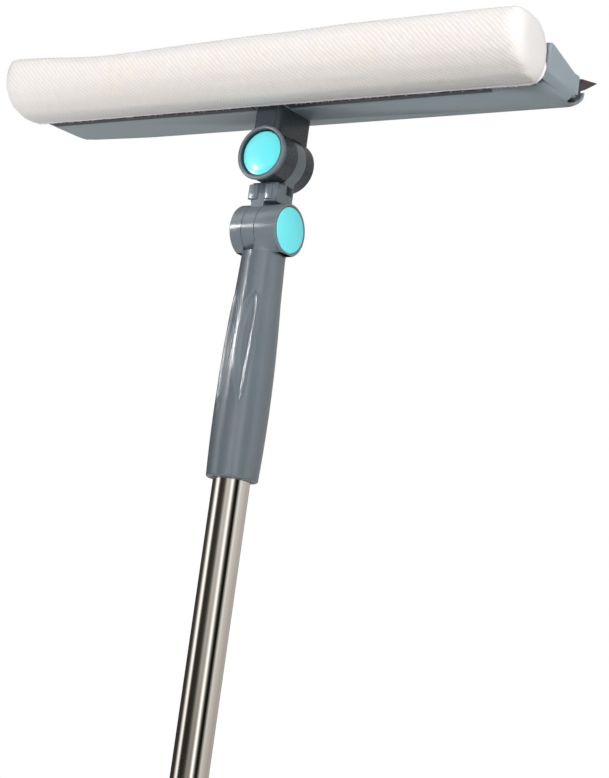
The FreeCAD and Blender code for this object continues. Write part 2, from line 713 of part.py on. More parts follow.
def end_cap():
    """Plug in the pole tube's foot with a flange and a flat eye to hang the pole by."""
    flange_foot = f"{POLE_FOOT} - cap_flange"
    plug = "pole_radius - pole_wall - seat_gap"
    blank = lathe("cap_blank", [
        ("0", flange_foot), ("grip_radius", flange_foot), ("grip_radius", POLE_FOOT), (plug, POLE_FOOT),
        (plug, f"{POLE_FOOT} + cap_plug"), ("0", f"{POLE_FOOT} + cap_plug")])
    round_edges(blank, "cap_flange_round", "cap_flange / 3",
                lambda e: is_circle(e, "grip_radius", flange_foot))
    across, through = ("-eye_width / 2", "eye_width / 2"), ("-eye_thickness / 2", "eye_thickness / 2")
    eye = slab("cap_eye_blank", across, through, (f"{flange_foot} - eye_height", POLE_FOOT))
    eye = round_off("cap_eye", eye, "eye_edge", lambda e: abs(
        e.Vertexes[0].Point.y - e.Vertexes[-1].Point.y) > 1 and e.Vertexes[0].Point.z < number(flange_foot))
    hole = cylinder("cap_eye_hole", "eye_hole_radius", "eye_thickness * 2", y="eye_thickness",
                    z=f"{flange_foot} - eye_height / 2", turn=TO_FRONT)
    return cut("end_cap", join("cap_with_eye", blank, eye), hole)


def head_base():
    """Tray of the head: floor, front and rear walls, the rear lip round the blade, and end walls that
    reach forward past the pad's plate."""
    lip_y = "head_back + lip_start"
    top_front, top_back = f"{UNDERSIDE} + head_front_height", f"{UNDERSIDE} + head_back_height"
    edge = "-head_front + head_chamfer"
    slope = f"(head_front_height - head_back_height) / (head_back - ({edge}))"
    cheek_top = f"({top_front} + ({edge} - {CHEEK_FRONT}) * {slope})"
    body = extrude("base_tray", "YZ_Plane", [
        (CHEEK_FRONT, UNDERSIDE), (lip_y, UNDERSIDE, "lip_radius"),
        (f"{lip_y} + lip_radius", f"{UNDERSIDE} + lip_radius"),
        (f"{lip_y} + lip_radius - lip_wall", f"{UNDERSIDE} + lip_radius", "-lip_radius + lip_wall"),
        (lip_y, f"{UNDERSIDE} + lip_wall"), ("head_back", f"{UNDERSIDE} + lip_wall"), ("head_back", top_back),
        (CHEEK_FRONT, cheek_top)], "head_length")
    round_edges(body, "end_front_edges", "end_front_round", lambda e: runs_along_x(e, CHEEK_FRONT, cheek_top))
    round_edges(body, "base_end_round", "head_edge", rounds_end)
    half, foot, below = "head_length / 2", "end_foot_round", f"{UNDERSIDE} - 1"
    for word, side, bend in (("right", "1", foot), ("left", "-1", f"-({foot})")):
        inner, outer = f"{side} * ({half} - {foot})", f"{side} * ({half} + 1)"
        pocket(body, f"end_foot_{word}", "XZ_Plane", [
            (inner, UNDERSIDE, bend), (f"{side} * {half}", f"{UNDERSIDE} + {foot}"),
            (outer, f"{UNDERSIDE} + {foot}"), (outer, below), (inner, below)], "head_length")
    front, rear, above = "-head_front + head_wall", "head_back - head_wall", f"{top_front} + 1"
    pocket(body, "tray_hollow", "YZ_Plane", [
        (front, HEAD_FLOOR), (rear, HEAD_FLOOR), (rear, above), (front, above)],
        "head_length - 2 * end_block")
    inside = "head_length - 2 * end_wall"
    seat_front, seat_back = f"{top_front} - cover_wall", f"{top_back} - cover_wall"
    before = f"{CHEEK_FRONT} - 1"
    pocket(body, "plate_bay", "YZ_Plane", [
        (before, below), ("-head_front", below),
        ("-head_front", f"{top_front} - head_chamfer"), (f"{edge} - cover_wall", seat_front),
        (before, seat_front)], inside)
    pocket(body, "cover_seat", "YZ_Plane", [
        (before, seat_front), (edge, seat_front), ("head_back", seat_back),
        ("head_back + 1", seat_back), ("head_back + 1", above), (before, above)], inside)
    bosses = plate_rods("boss", "boss_radius", "-head_front", "head_wall + boss_depth")
    pilots = plate_rods("boss_pilot", "screw_radius + seat_gap", "-head_front", "head_wall + screw_depth + 1")
    return cut("head_base", join("base_with_bosses", body, *bosses), *pilots,
               *floor_holes("floor_hole", UNDERSIDE, HEAD_FLOOR))


def plate_rods(name, radius, y, length):
    """Cylinders to the rear along the axes of the screws that hold the pad's plate."""
    return [cylinder(f"{name}_{i}", radius, length, x=x, y=y, z=BOSS_AXIS, turn=TO_REAR)
            for i, x in enumerate(PLATE_SCREWS, start=1)]


def rounds_end(edge):
    """Whether an edge bounds one of the head's end faces on its outer side."""
    half = number("head_length / 2")
    points = [vertex.Point for vertex in edge.Vertexes]
    at_end = all(abs(abs(point.x) - half) < NEAR for point in points)
    before_wall = min(point.y for point in points) < number("head_back") - NEAR
    at_floor = min(point.z for point in points) < number(UNDERSIDE) + NEAR
    return at_end and (before_wall or at_floor)


def head_cover():
    """Top plate let in between the end walls."""
    top_front, top_back = f"{UNDERSIDE} + head_front_height", f"{UNDERSIDE} + head_back_height"
    edge = "-head_front + head_chamfer"
    return extrude("head_cover", "YZ_Plane", [
        (f"{edge} - cover_wall", f"{top_front} - cover_wall"), (edge, f"{top_front} - cover_wall"),
        ("head_back", f"{top_back} - cover_wall"), ("head_back", top_back), (edge, top_front)],
        "head_length - 2 * end_wall - 2 * cover_gap")


def pad_plate():
    plate = slab("plate_blank", ("-head_length / 2 + plate_inset", "head_length / 2 - plate_inset"),
                 (PLATE_FRONT, "-head_front"),
                 (f"{UNDERSIDE} + plate_base", f"{UNDERSIDE} + plate_base + plate_height"))
    holes = plate_rods("plate_hole", "screw_radius + seat_gap", PLATE_FRONT, "plate_wall")
    recesses = plate_rods("plate_recess", "screw_head_radius + seat_gap", PLATE_FRONT, "screw_head")
    return cut("pad_plate", plate, *holes, *recesses)


def hook_strips():
    """Two strips of hook tape along the plate's edges."""
    span = ("-head_length / 2 + hook_inset", "head_length / 2 - hook_inset")
    depth = (f"{PLATE_FRONT} - hook_wall", PLATE_FRONT)
    low = f"{UNDERSIDE} + plate_base + hook_margin"
    high = f"{UNDERSIDE} + plate_base + plate_height - hook_margin"
    return join("hook_strips", slab("hook_strip_low", span, depth, (low, f"{low} + hook_width")),
                slab("hook_strip_high", span, depth, (f"{high} - hook_width", high)))


def soft_bar(name, inset):
    """A bar of the pad's D-shaped section with soft ends, smaller than the pad by the inset all round."""
    back, front = f"{PAD_BACK} - ({inset})", f"{PAD_BACK} - pad_depth + ({inset})"
    low, high = f"{PAD_FOOT} + ({inset})", f"{PAD_FOOT} + pad_height - ({inset})"
    body = extrude(name, "YZ_Plane", [(front, low), (back, low), (back, high), (front, high)],
                   f"pad_length - 2 * ({inset})")
    for word, y, z in (("front_top", front, high), ("front_foot", front, low),
                       ("back_top", back, high), ("back_foot", back, low)):
        round_edges(body, f"{name}_{word}_round", f"pad_{word}_round - ({inset})",
                    lambda e: runs_along_x(e, y, z))
    half = f"pad_length / 2 - ({inset})"
    round_edges(body, name + "_end_round", f"pad_end_round - ({inset})", lambda e: all(
        abs(abs(vertex.Point.x) - number(half)) < NEAR for vertex in e.Vertexes))
    return body


def pad_cover():
    """Sleeve of the pad, hollow for the core, with a slit at its back."""
    slit = slab("pad_slit_tool", ("-pad_slit_length / 2", "pad_slit_length / 2"),
                (f"{PAD_BACK} - pad_skin - part_gap", f"{PAD_BACK} + 1"),
                (f"{BOSS_AXIS} - pad_slit / 2", f"{BOSS_AXIS} + pad_slit / 2"))
    return cut("pad_cover", soft_bar("sleeve", "0"), soft_bar("sleeve_hollow", "pad_skin"), slit)


def blade_holder():
    """Channel that runs along the head's rear, open to the back between two lips."""
    low, high = f"{UNDERSIDE} + holder_base", f"{UNDERSIDE} + holder_base + holder_height"
    back, rear = "head_back", "head_back + holder_depth"
    inner_back, inner_rear = f"{back} + holder_wall", f"{rear} - holder_wall"
    inner_low, inner_high = f"{low} + holder_wall", f"{high} - holder_wall"
    lip_low, lip_high = f"{inner_low} + holder_lip", f"{inner_high} - holder_lip"
    return extrude("blade_holder", "YZ_Plane", [
        (back, low), (rear, low), (rear, lip_low), (inner_rear, lip_low), (inner_rear, inner_low),
        (inner_back, inner_low), (inner_back, inner_high), (inner_rear, inner_high), (inner_rear, lip_high),
        (rear, lip_high), (rear, high), (back, high)], "head_length - 2 * part_gap")


def rubber_blade():
    """Bead in the holder, neck between its lips and the tapered blade behind."""
    low, high = f"{UNDERSIDE} + holder_base", f"{UNDERSIDE} + holder_base + holder_height"
    rear = "head_back + holder_depth"
    bead_back = "head_back + holder_wall + blade_gap"
    bead_front = f"{rear} - holder_wall - blade_gap"
    bead_low, bead_high = f"{low} + holder_wall + blade_gap", f"{high} - holder_wall - blade_gap"
    neck_low = f"{low} + holder_wall + holder_lip + blade_gap"
    neck_high = f"{high} - holder_wall - holder_lip - blade_gap"
    root_y = f"{rear} + blade_gap"
    tip_y, tip_z = f"{root_y} + blade_reach", f"{high} + blade_rise"
    knee_y, knee_z = f"{root_y} + blade_knee", f"{high} - blade_root + blade_knee_rise"
    return extrude("rubber_blade", "YZ_Plane", [
        (bead_back, bead_low), (bead_front, bead_low), (bead_front, neck_low), (root_y, neck_low),
        (root_y, f"{high} - blade_root"), (knee_y, knee_z), (tip_y, f"{tip_z} - blade_tip"), (tip_y, tip_z),
        (root_y, high), (root_y, neck_high), (bead_front, neck_high), (bead_front, bead_high),
        (bead_back, bead_high)], "head_length - 2 * part_gap")


splines = {kind: spline_tool(kind) for kind in ("swing", "tilt")}
plate_spots = [(x, PLATE_FRONT, BOSS_AXIS) for x in PLATE_SCREWS]
neck_spots = [(x, y, f"{HEAD_FLOOR} + screw_head") for x, y in NECK_SCREWS]
parts = [
    head_base(), head_cover(), pad_plate(), hook_strips(),
    soft_bar("pad_core", "pad_skin + part_gap"), pad_cover(),
    screw_group("plate_screws", plate_spots, "plate_wall + screw_depth", TO_REAR),
    blade_holder(), rubber_blade(), head_bracket(splines["swing"]),
    screw_group("bracket_screws", neck_spots, "screw_head + head_wall + screw_depth - part_gap", DOWNWARD),
    *pivot_parts("swing"), joint_link(splines), *pivot_parts("tilt"),
    grip_socket(splines["tilt"]), socket_screw(), mast_tube(), mast_bush(),
    tube("pole_tube", "pole_radius", "pole_wall", POLE_FOOT, POLE_TOP),
    clamp_collet(), twist_collar(), hand_grip(), end_cap(),
]
doc.recompute()

for thing in doc.Objects:
    if "Invalid" in thing.State or "Error" in thing.State:
        raise RuntimeError(f"{thing.Label} failed: {thing.State}")
for part in parts:
    if part.Shape.isNull() or not part.Shape.isValid():
        raise RuntimeError(part.Label + " has no valid shape")

os.makedirs("parts", exist_ok=True)
for part in parts:
    part.Shape.exportStep(f"parts/{part.Label}.step")
    print(part.Label, len(part.Shape.Solids), "solid(s)", round(part.Shape.Volume), "mm3")
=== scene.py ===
# Looks of the window squeegee: microfibre pad, rubber blade, moulded head and joints, polished pole.
# Units are metres. +Z runs up the pole, -Y is the pad's side.
import math
import random

import bmesh
import bpy
import numpy
from mathutils import Matrix, Vector, noise
from mathutils.bvhtree import BVHTree


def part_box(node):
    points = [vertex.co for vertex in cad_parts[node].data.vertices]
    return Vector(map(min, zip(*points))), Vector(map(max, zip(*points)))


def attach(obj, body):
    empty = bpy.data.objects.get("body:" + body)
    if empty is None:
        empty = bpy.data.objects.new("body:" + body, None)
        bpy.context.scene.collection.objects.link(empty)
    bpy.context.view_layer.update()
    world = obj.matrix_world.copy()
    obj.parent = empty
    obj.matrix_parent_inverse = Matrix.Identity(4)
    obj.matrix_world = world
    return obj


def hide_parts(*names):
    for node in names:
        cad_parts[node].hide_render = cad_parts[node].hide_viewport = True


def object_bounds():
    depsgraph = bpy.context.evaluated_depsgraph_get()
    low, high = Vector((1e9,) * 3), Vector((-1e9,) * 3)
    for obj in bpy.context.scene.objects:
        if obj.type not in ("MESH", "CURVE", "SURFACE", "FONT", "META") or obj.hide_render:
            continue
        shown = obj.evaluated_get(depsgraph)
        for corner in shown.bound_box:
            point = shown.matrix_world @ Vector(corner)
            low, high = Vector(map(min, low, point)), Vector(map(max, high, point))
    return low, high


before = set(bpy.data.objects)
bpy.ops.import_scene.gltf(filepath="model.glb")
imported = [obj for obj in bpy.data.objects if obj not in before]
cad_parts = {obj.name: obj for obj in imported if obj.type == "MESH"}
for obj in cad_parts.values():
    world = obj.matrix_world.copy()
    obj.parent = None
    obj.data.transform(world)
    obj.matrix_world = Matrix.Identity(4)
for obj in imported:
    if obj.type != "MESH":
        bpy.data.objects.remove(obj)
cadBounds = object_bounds()
scene = bpy.context.scene
mm = 0.001
print("frame loaded")


def linearColour(hexValue):
    # an sRGB hex value as the linear colour that a socket takes
    channels = []
    for start in (0, 2, 4):
        value = int(hexValue[start:start + 2], 16) / 255
        channels.append(value / 12.92 if value <= 0.04045 else ((value + 0.055) / 1.055) ** 2.4)
    return (*channels, 1.0)


def addNode(tree, kind, sockets=None, **settings):
    # sockets: input name or number -> a value, or a (node, output) pair to link from
    node = tree.nodes.new(kind)
    for name, value in settings.items():
        setattr(node, name, value)
    for key, value in (sockets or {}).items():
        if isinstance(value, tuple) and len(value) == 2 and isinstance(value[0], bpy.types.Node):
            tree.links.new(value[0].outputs[value[1]], node.inputs[key])
        else:
            node.inputs[key].default_value = value
    return node


def newMaterial(name):
    material = bpy.data.materials.new(name)
    material.use_nodes = True
    tree = material.node_tree
    tree.nodes.clear()
    return material, tree


def finishMaterial(tree, sockets):
    shader = addNode(tree, "ShaderNodeBsdfPrincipled", sockets)
    addNode(tree, "ShaderNodeOutputMaterial", {"Surface": (shader, "BSDF")})


def dress(nodeName, material):
    # the CAD mesh stays, only its material changes
    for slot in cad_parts[nodeName].material_slots:
        slot.material = material


def satinPlastic(name, hexLight, hexDark, roughness, grainMm, grainDepthMm, sinkDepthMm=0.03, shine=0.5):
    # satin plastic as it leaves the mould or die: fine spark-eroded grain, a faint flow tint, and the slow
    # waves of its sink marks, which bend the highlights
    material, tree = newMaterial(name)
    place = addNode(tree, "ShaderNodeTexCoord")
    flow = addNode(tree, "ShaderNodeTexNoise", {"Vector": (place, "Object"), "Scale": 1 / (28 * mm),
                                                "Detail": 2.0, "Roughness": 0.5})
    tint = addNode(tree, "ShaderNodeMix", {"Factor": (flow, "Fac"), "A": linearColour(hexDark),
                                           "B": linearColour(hexLight)}, data_type="RGBA")
    grain = addNode(tree, "ShaderNodeTexNoise", {"Vector": (place, "Object"), "Scale": 1 / (grainMm * mm),
                                                 "Detail": 3.0, "Roughness": 0.6})
    polish = addNode(tree, "ShaderNodeMapRange", {"Value": (grain, "Fac"), "From Min": 0.3, "From Max": 0.7,
                                                  "To Min": roughness - 0.05, "To Max": roughness + 0.06})
    sink = addNode(tree, "ShaderNodeTexNoise", {"Vector": (place, "Object"), "Scale": 1 / (9 * mm),
                                                "Detail": 1.0})
    wave = addNode(tree, "ShaderNodeBump", {"Height": (sink, "Fac"), "Distance": sinkDepthMm * mm,
                                            "Strength": 1.0})
    bump = addNode(tree, "ShaderNodeBump", {"Height": (grain, "Fac"), "Normal": (wave, "Normal"),
                                            "Distance": grainDepthMm * mm, "Strength": 0.6})
    finishMaterial(tree, {"Base Color": (tint, "Result"), "Roughness": (polish, "Result"),
                          "Normal": (bump, "Normal"), "IOR": 1.53, "Specular IOR Level": shine})
    return material


def polishedStainless():
    # mirror-polished stainless tube: sharp reflections, fine buffing lines along the tube, faint warm tint
    material, tree = newMaterial("Polished stainless steel")
    place = addNode(tree, "ShaderNodeTexCoord")
    along = addNode(tree, "ShaderNodeMapping", {"Vector": (place, "Object"), "Scale": (1.0, 1.0, 0.012)})
    lines = addNode(tree, "ShaderNodeTexNoise", {"Vector": (along, "Vector"), "Scale": 1 / (0.35 * mm),
                                                 "Detail": 3.0, "Roughness": 0.6})
    haze = addNode(tree, "ShaderNodeTexNoise", {"Vector": (place, "Object"), "Scale": 1 / (35 * mm),
                                                "Detail": 2.0})
    smear = addNode(tree, "ShaderNodeMath", {0: (lines, "Fac"), 1: (haze, "Fac")}, operation="MULTIPLY")
    polish = addNode(tree, "ShaderNodeMapRange", {"Value": (smear, "Value"), "From Min": 0.1,
                                                  "From Max": 0.45, "To Min": 0.06, "To Max": 0.13})
    bump = addNode(tree, "ShaderNodeBump", {"Height": (lines, "Fac"), "Distance": 0.002 * mm,
                                            "Strength": 0.5})
    finishMaterial(tree, {"Base Color": linearColour("dedad4"), "Metallic": 1.0,
                          "Roughness": (polish, "Result"), "Normal": (bump, "Normal")})
    return material


def zincSteel(name, hexValue, roughness):
    # turned or drawn steel with a thin bright zinc coat
    material, tree = newMaterial(name)
    place = addNode(tree, "ShaderNodeTexCoord")
    grain = addNode(tree, "ShaderNodeTexNoise", {"Vector": (place, "Object"), "Scale": 1 / (0.4 * mm),
                                                 "Detail": 3.0})
    polish = addNode(tree, "ShaderNodeMapRange", {"Value": (grain, "Fac"), "To Min": roughness - 0.08,
                                                  "To Max": roughness + 0.08})
    bump = addNode(tree, "ShaderNodeBump", {"Height": (grain, "Fac"), "Distance": 0.01 * mm, "Strength": 0.4})
    finishMaterial(tree, {"Base Color": linearColour(hexValue), "Metallic": 1.0,
                          "Roughness": (polish, "Result"), "Normal": (bump, "Normal")})
    return material


def naturalRubber():
    # extruded blade rubber, dark brown-black, dull with fine drawing lines along its length
    material, tree = newMaterial("Extruded natural rubber")
    place = addNode(tree, "ShaderNodeTexCoord")
    along = addNode(tree, "ShaderNodeMapping", {"Vector": (place, "Object"), "Scale": (0.02, 1.0, 1.0)})
    lines = addNode(tree, "ShaderNodeTexNoise", {"Vector": (along, "Vector"), "Scale": 1 / (0.5 * mm),
                                                 "Detail": 2.0})
    bloom = addNode(tree, "ShaderNodeTexNoise", {"Vector": (place, "Object"), "Scale": 1 / (12 * mm),
                                                 "Detail": 3.0})
    tint = addNode(tree, "ShaderNodeMix", {"Factor": (bloom, "Fac"), "A": linearColour("1f1819"),
                                           "B": linearColour("3a2f31")}, data_type="RGBA")
    bump = addNode(tree, "ShaderNodeBump", {"Height": (lines, "Fac"), "Distance": 0.02 * mm, "Strength": 0.5})
    finishMaterial(tree, {"Base Color": (tint, "Result"), "Roughness": 0.42, "Normal": (bump, "Normal"),
                          "IOR": 1.52})
    return material


def wovenMicrofibre():
    # woven microfibre: ribs and picks are in the mesh, and the shader adds split-fibre nap, painted shade in
    # the valleys between threads and a painted blue-grey sheen at grazing angles
    material, tree = newMaterial("Woven microfibre")
    place = addNode(tree, "ShaderNodeTexCoord")
    threads = addNode(tree, "ShaderNodeUVMap", uv_map="weave")      # one unit is one metre of cloth
    relief = addNode(tree, "ShaderNodeAttribute", attribute_name="relief")
    strands = addNode(tree, "ShaderNodeMapping", {"Vector": (threads, "UV"), "Scale": (1.0, 0.25, 1.0),
                                                  "Rotation": (0, 0, math.radians(-45))})
    fibre = addNode(tree, "ShaderNodeTexNoise", {"Vector": (strands, "Vector"), "Scale": 1 / (0.3 * mm),
                                                 "Detail": 2.0, "Roughness": 0.6})
    fuzz = addNode(tree, "ShaderNodeTexNoise", {"Vector": (place, "Object"), "Scale": 1 / (0.5 * mm),
                                                "Detail": 3.0, "Roughness": 0.7})
    patch = addNode(tree, "ShaderNodeTexNoise", {"Vector": (place, "Object"), "Scale": 1 / (24 * mm),
                                                 "Detail": 2.0})
    cream = addNode(tree, "ShaderNodeMix", {"Factor": (patch, "Fac"), "A": linearColour("f0e8dc"),
                                            "B": linearColour("efe9ea")}, data_type="RGBA")
    # painted shade: the cloth's colour is darkened in the valleys between threads, where the relief is low
    depth = addNode(tree, "ShaderNodeMapRange", {"Value": (relief, "Fac"), "From Min": 0.1, "From Max": 0.8,
                                                 "To Min": 0.86, "To Max": 1.0})
    shaded = addNode(tree, "ShaderNodeVectorMath", {0: (cream, "Result"), "Scale": (depth, "Result")},
                     operation="SCALE")
    # painted sheen: towards grazing angles the cloth's colour turns blue-grey
    edge = addNode(tree, "ShaderNodeLayerWeight", {"Blend": 0.12})
    rim = addNode(tree, "ShaderNodeMix", {"Factor": (edge, "Facing"), "A": (shaded, "Vector"),
                                          "B": linearColour("a9bcc6")}, data_type="RGBA")
    rise = addNode(tree, "ShaderNodeBump", {"Height": (fibre, "Fac"), "Distance": 0.12 * mm, "Strength": 0.6})
    bump = addNode(tree, "ShaderNodeBump", {"Height": (fuzz, "Fac"), "Normal": (rise, "Normal"),
                                            "Distance": 0.12 * mm, "Strength": 0.5})
    finishMaterial(tree, {"Base Color": (rim, "Result"), "Roughness": 0.9, "Normal": (bump, "Normal"),
                          "Sheen Weight": 0.25, "Sheen Roughness": 0.5, "IOR": 1.46})
    return material


def rolledCloth(name, hexLight, hexDark):
    # twisted yarn and folded hem: short fibres along the roll, dull
    material, tree = newMaterial(name)
    place = addNode(tree, "ShaderNodeTexCoord")
    fibre = addNode(tree, "ShaderNodeTexNoise", {"Vector": (place, "Object"), "Scale": 1 / (0.35 * mm),
                                                 "Detail": 3.0, "Roughness": 0.7})
    tint = addNode(tree, "ShaderNodeMix", {"Factor": (fibre, "Fac"), "A": linearColour(hexDark),
                                           "B": linearColour(hexLight)}, data_type="RGBA")
    bump = addNode(tree, "ShaderNodeBump", {"Height": (fibre, "Fac"), "Distance": 0.1 * mm, "Strength": 0.6})
    finishMaterial(tree, {"Base Color": (tint, "Result"), "Roughness": 0.85, "Normal": (bump, "Normal"),
                          "Sheen Weight": 0.2, "Sheen Roughness": 0.5, "IOR": 1.46})
    return material


# each plastic's lighter and darker tint, roughness, grain and its depth in mm, then the depth of its sink
# marks in mm and its shine where they aren't the usual ones; the hidden foam and hook tape share that grain
shellAbs = satinPlastic("Moulded ABS, head shell", "8e9aa1", "88959c", 0.36, 0.5, 0.012)
gripAbs = satinPlastic("Moulded ABS, grip socket", "616a71", "5a636a", 0.22, 0.6, 0.008, 0.16, 0.65)
jointNylon = satinPlastic("Moulded nylon, joints", "6b767d", "646f76", 0.22, 0.6, 0.012, 0.05, 0.8)
# painted shade: the bracket's nylon is the joints' nylon darkened, standing in for the shade under the head
shadedBracketNylon = satinPlastic("Moulded nylon, bracket, darkened as painted shade", "343d43", "2f373d", 0.24, 0.6, 0.012, 0.06)
buttonAcetal = satinPlastic("Moulded acetal, buttons", "76eff6", "6ae7ef", 0.18, 0.8, 0.004)
innerAcetal = satinPlastic("Natural acetal, lock parts", "dcdedb", "d2d4d0", 0.4, 0.6, 0.010)
plateAbs = satinPlastic("Moulded ABS, pad plate", "7f8d96", "76848d", 0.45, 0.4, 0.02)
# painted shadow: the dark strip's nylon, dark so that it stands in for the pad's shadow
shadowStripNylon = satinPlastic("Moulded nylon, plate shadowStrip", "2c363c", "273036", 0.5, 0.4, 0.02)
clampNylon = satinPlastic("Moulded nylon, clamp", "5d6a73", "56636c", 0.42, 0.5, 0.02)
collarAbs = satinPlastic("Moulded ABS, collar and cap", "7d8c95", "74838c", 0.36, 0.4, 0.02)
softTpe = satinPlastic("Moulded soft rubber, hand grip", "65737d", "5d6b75", 0.62, 0.35, 0.04)
foamCore = satinPlastic("Open-cell foam", "e6dfc9", "d8d0b8", 0.9, 1.2, 0.4)
hookNylon = satinPlastic("Woven hook tape", "dcdcda", "cfcfcd", 0.6, 0.8, 0.3)
stainless = polishedStainless()
springWire = zincSteel("Drawn spring wire", "b4b4b2", 0.3)
screwZinc = zincSteel("Zinc-plated screws", "b9b8b4", 0.32)
pinGround = zincSteel("Ground steel pins", "c3c2be", 0.2)
# the holder's dark tone is partly its own dark PVC and partly painted shade for the deep shade in its slot at
# the head's ends
holderPvcAndSlotShade = satinPlastic("Extruded PVC, blade holder, darkened for its slot's shade", "3a3538", "332e31", 0.5, 0.5, 0.010)
bladeRubber = naturalRubber()
microfibre = wovenMicrofibre()
seamCloth = rolledCloth("Rolled microfibre hem", "f3ecf0", "e6dde4")
seamThread = rolledCloth("Polyester overlock thread", "dcdfe6", "cdd2dc")

finishes = {
    shellAbs: ("head_base", "head_cover"),
    shadedBracketNylon: ("head_bracket", "swing_pin_cap"),
    jointNylon: ("joint_link", "tilt_pin_cap"),
    gripAbs: ("grip_socket",),
    buttonAcetal: ("swing_button", "tilt_button"),
    innerAcetal: ("swing_lock_gear", "tilt_lock_gear", "mast_bush"),
    plateAbs: ("pad_plate",),
    clampNylon: ("clamp_collet",),
    collarAbs: ("twist_collar", "end_cap"),
    softTpe: ("hand_grip",),
    foamCore: ("pad_core",),
    hookNylon: ("hook_strips",),
    stainless: ("mast_tube", "pole_tube"),
    springWire: ("swing_spring", "tilt_spring"),
    screwZinc: ("plate_screws", "bracket_screws", "socket_screw"),
    pinGround: ("swing_pin", "tilt_pin"),
    holderPvcAndSlotShade: ("blade_holder",),
    bladeRubber: ("rubber_blade",),
    microfibre: ("pad_cover",),
}
for finish, nodeNames in finishes.items():
    for nodeName in nodeNames:
        dress(nodeName, finish)
print("materials on the CAD nodes")


def addPiece(name, build, material, rides, nodes=(), smooth=True):
    # turns a bmesh into an object that rides on a body and may stand for CAD nodes
    mesh = bpy.data.meshes.new(name)
    bmesh.ops.recalc_face_normals(build, faces=build.faces)
    build.to_mesh(mesh)
    build.free()
    piece = bpy.data.objects.new(name, mesh)
    scene.collection.objects.link(piece)
    mesh.materials.append(material)
    for face in mesh.polygons:
        face.use_smooth = smooth
    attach(piece, rides)
    if nodes:
        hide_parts(*nodes)
    return piece


# pad: woven microfibre sleeve drawn over a foam core and blown up by a cloth simulation; lengths in mm
padSet = {
    "slack": 0.3,         # between the blank and the pad's full size before the sleeve is blown up
    "frontTop": 9.0,      # radii of the section's four corners
    "frontBottom": 19.0,
    "backTop": 14.0,
    "backBottom": 5.0,
    "cornerSteps": 8,
    "endRound": 5.0,
    "endSteps": 8,
    "topCorner": {-1: 0.4, 1: 2.0},     # share of the end round at the top of the left and right end
    "topDrop": 1.2,       # how far the filled pad's top stays below its place
    "topLine": ((-160, 0.7), (-150, 0.8), (-130, 1.9), (-115, 3.4), (-100, 4.2), (-85, 4.3), (-72, 4.0),
                (-45, 2.8), (-15, 2.0), (0, 1.3), (28, 1.2), (43, 0.6), (57, 0.1), (130, 0.0),
                (160, 0.4)),            # place along the pad, and how far the used foam's top dips there
    "topSmooth": 10.0,    # over which the corners of that line are rounded
    "mesh": 4.0,
    "pressure": 4.0,
    "stretch": 25,        # stiffness of the cloth against stretching and squeezing
    "bend": 1.5,
    "frames": 20,
    "reach": 1.2,         # how far the cloth may move
    "heldBand": 1.5,      # at the back, where the hook tape holds the cloth
    "fold": 0.5,          # how far inside the section's edge the cloth counts as turned over the end
    "plainEnd": 6.0,      # over which the weave flattens towards the ends
    "ribPitch": 2.0,
    "ribDepth": 0.26,
    "pickPitch": 1.5,
    "fill": 0.95,
}
padLow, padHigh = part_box("pad_cover")
padMiddle = (padLow + padHigh) / 2


def padBlank():
    # a bar with a different radius along each long edge, drawn in towards its ends
    slack = padSet["slack"] * mm
    low = padLow + Vector((slack, slack, slack))
    high = padHigh - Vector((slack, 0, slack + padSet["topDrop"] * mm))
    middle, size = (low + high) / 2, high - low
    build = bmesh.new()
    bmesh.ops.create_cube(build, size=1.0)
    bmesh.ops.scale(build, vec=size, verts=build.verts)
    bmesh.ops.translate(build, vec=middle, verts=build.verts)
    for corner, ySide, zSide in (("frontTop", -1, 1), ("frontBottom", -1, -1), ("backTop", 1, 1),
                                 ("backBottom", 1, -1)):
        edges = [edge for edge in build.edges if all(
            (vert.co.y - middle.y) * ySide > size.y * 0.49 and (vert.co.z - middle.z) * zSide > size.z * 0.49
            for vert in edge.verts)]
        bmesh.ops.bevel(build, geom=edges, offset=padSet[corner] * mm, segments=padSet["cornerSteps"],
                        profile=0.5, affect="EDGES", material=-1)
    reach, steps = padSet["endRound"] * mm, padSet["endSteps"]
    for step in range(1, steps + 1):
        for side in (-1, 1):
            spot = middle.x + side * (size.x / 2 - reach * (1 - math.cos(math.pi / 2 * step / steps)))
            bmesh.ops.bisect_plane(build, geom=build.verts[:] + build.edges[:] + build.faces[:],
                                   plane_co=(spot, 0, 0), plane_no=(1, 0, 0), dist=1e-6)
    for vert in build.verts:
        past = max(0.0, (abs(vert.co.x - middle.x) - (size.x / 2 - reach)) / reach)
        inward = reach * (1 - math.sqrt(max(0.0, 1 - past * past)))
        vert.co.y = high.y + (vert.co.y - high.y) * (1 - inward / size.y)
        share = padSet["topCorner"][-1 if vert.co.x < middle.x else 1] if vert.co.z > middle.z else 1
        vert.co.z = middle.z + (vert.co.z - middle.z) * (1 - inward * 2 / size.z * share)
    return build


def applied(piece, modifier, **settings):
    # adds one modifier, applies it and leaves a plain mesh
    added = piece.modifiers.new(modifier, modifier)
    for name, value in settings.items():
        setattr(added, name, value)
    graph = bpy.context.evaluated_depsgraph_get()
    mesh = bpy.data.meshes.new_from_object(piece.evaluated_get(graph))
    piece.modifiers.clear()
    old = piece.data
    piece.data = mesh
    bpy.data.meshes.remove(old)


def meshCoordinates(mesh):
    spots = numpy.empty(len(mesh.vertices) * 3)
    mesh.vertices.foreach_get("co", spots)
    return spots.reshape(-1, 3)


def moveVertices(mesh, spots):
    mesh.vertices.foreach_set("co", spots.ravel())
    mesh.update()


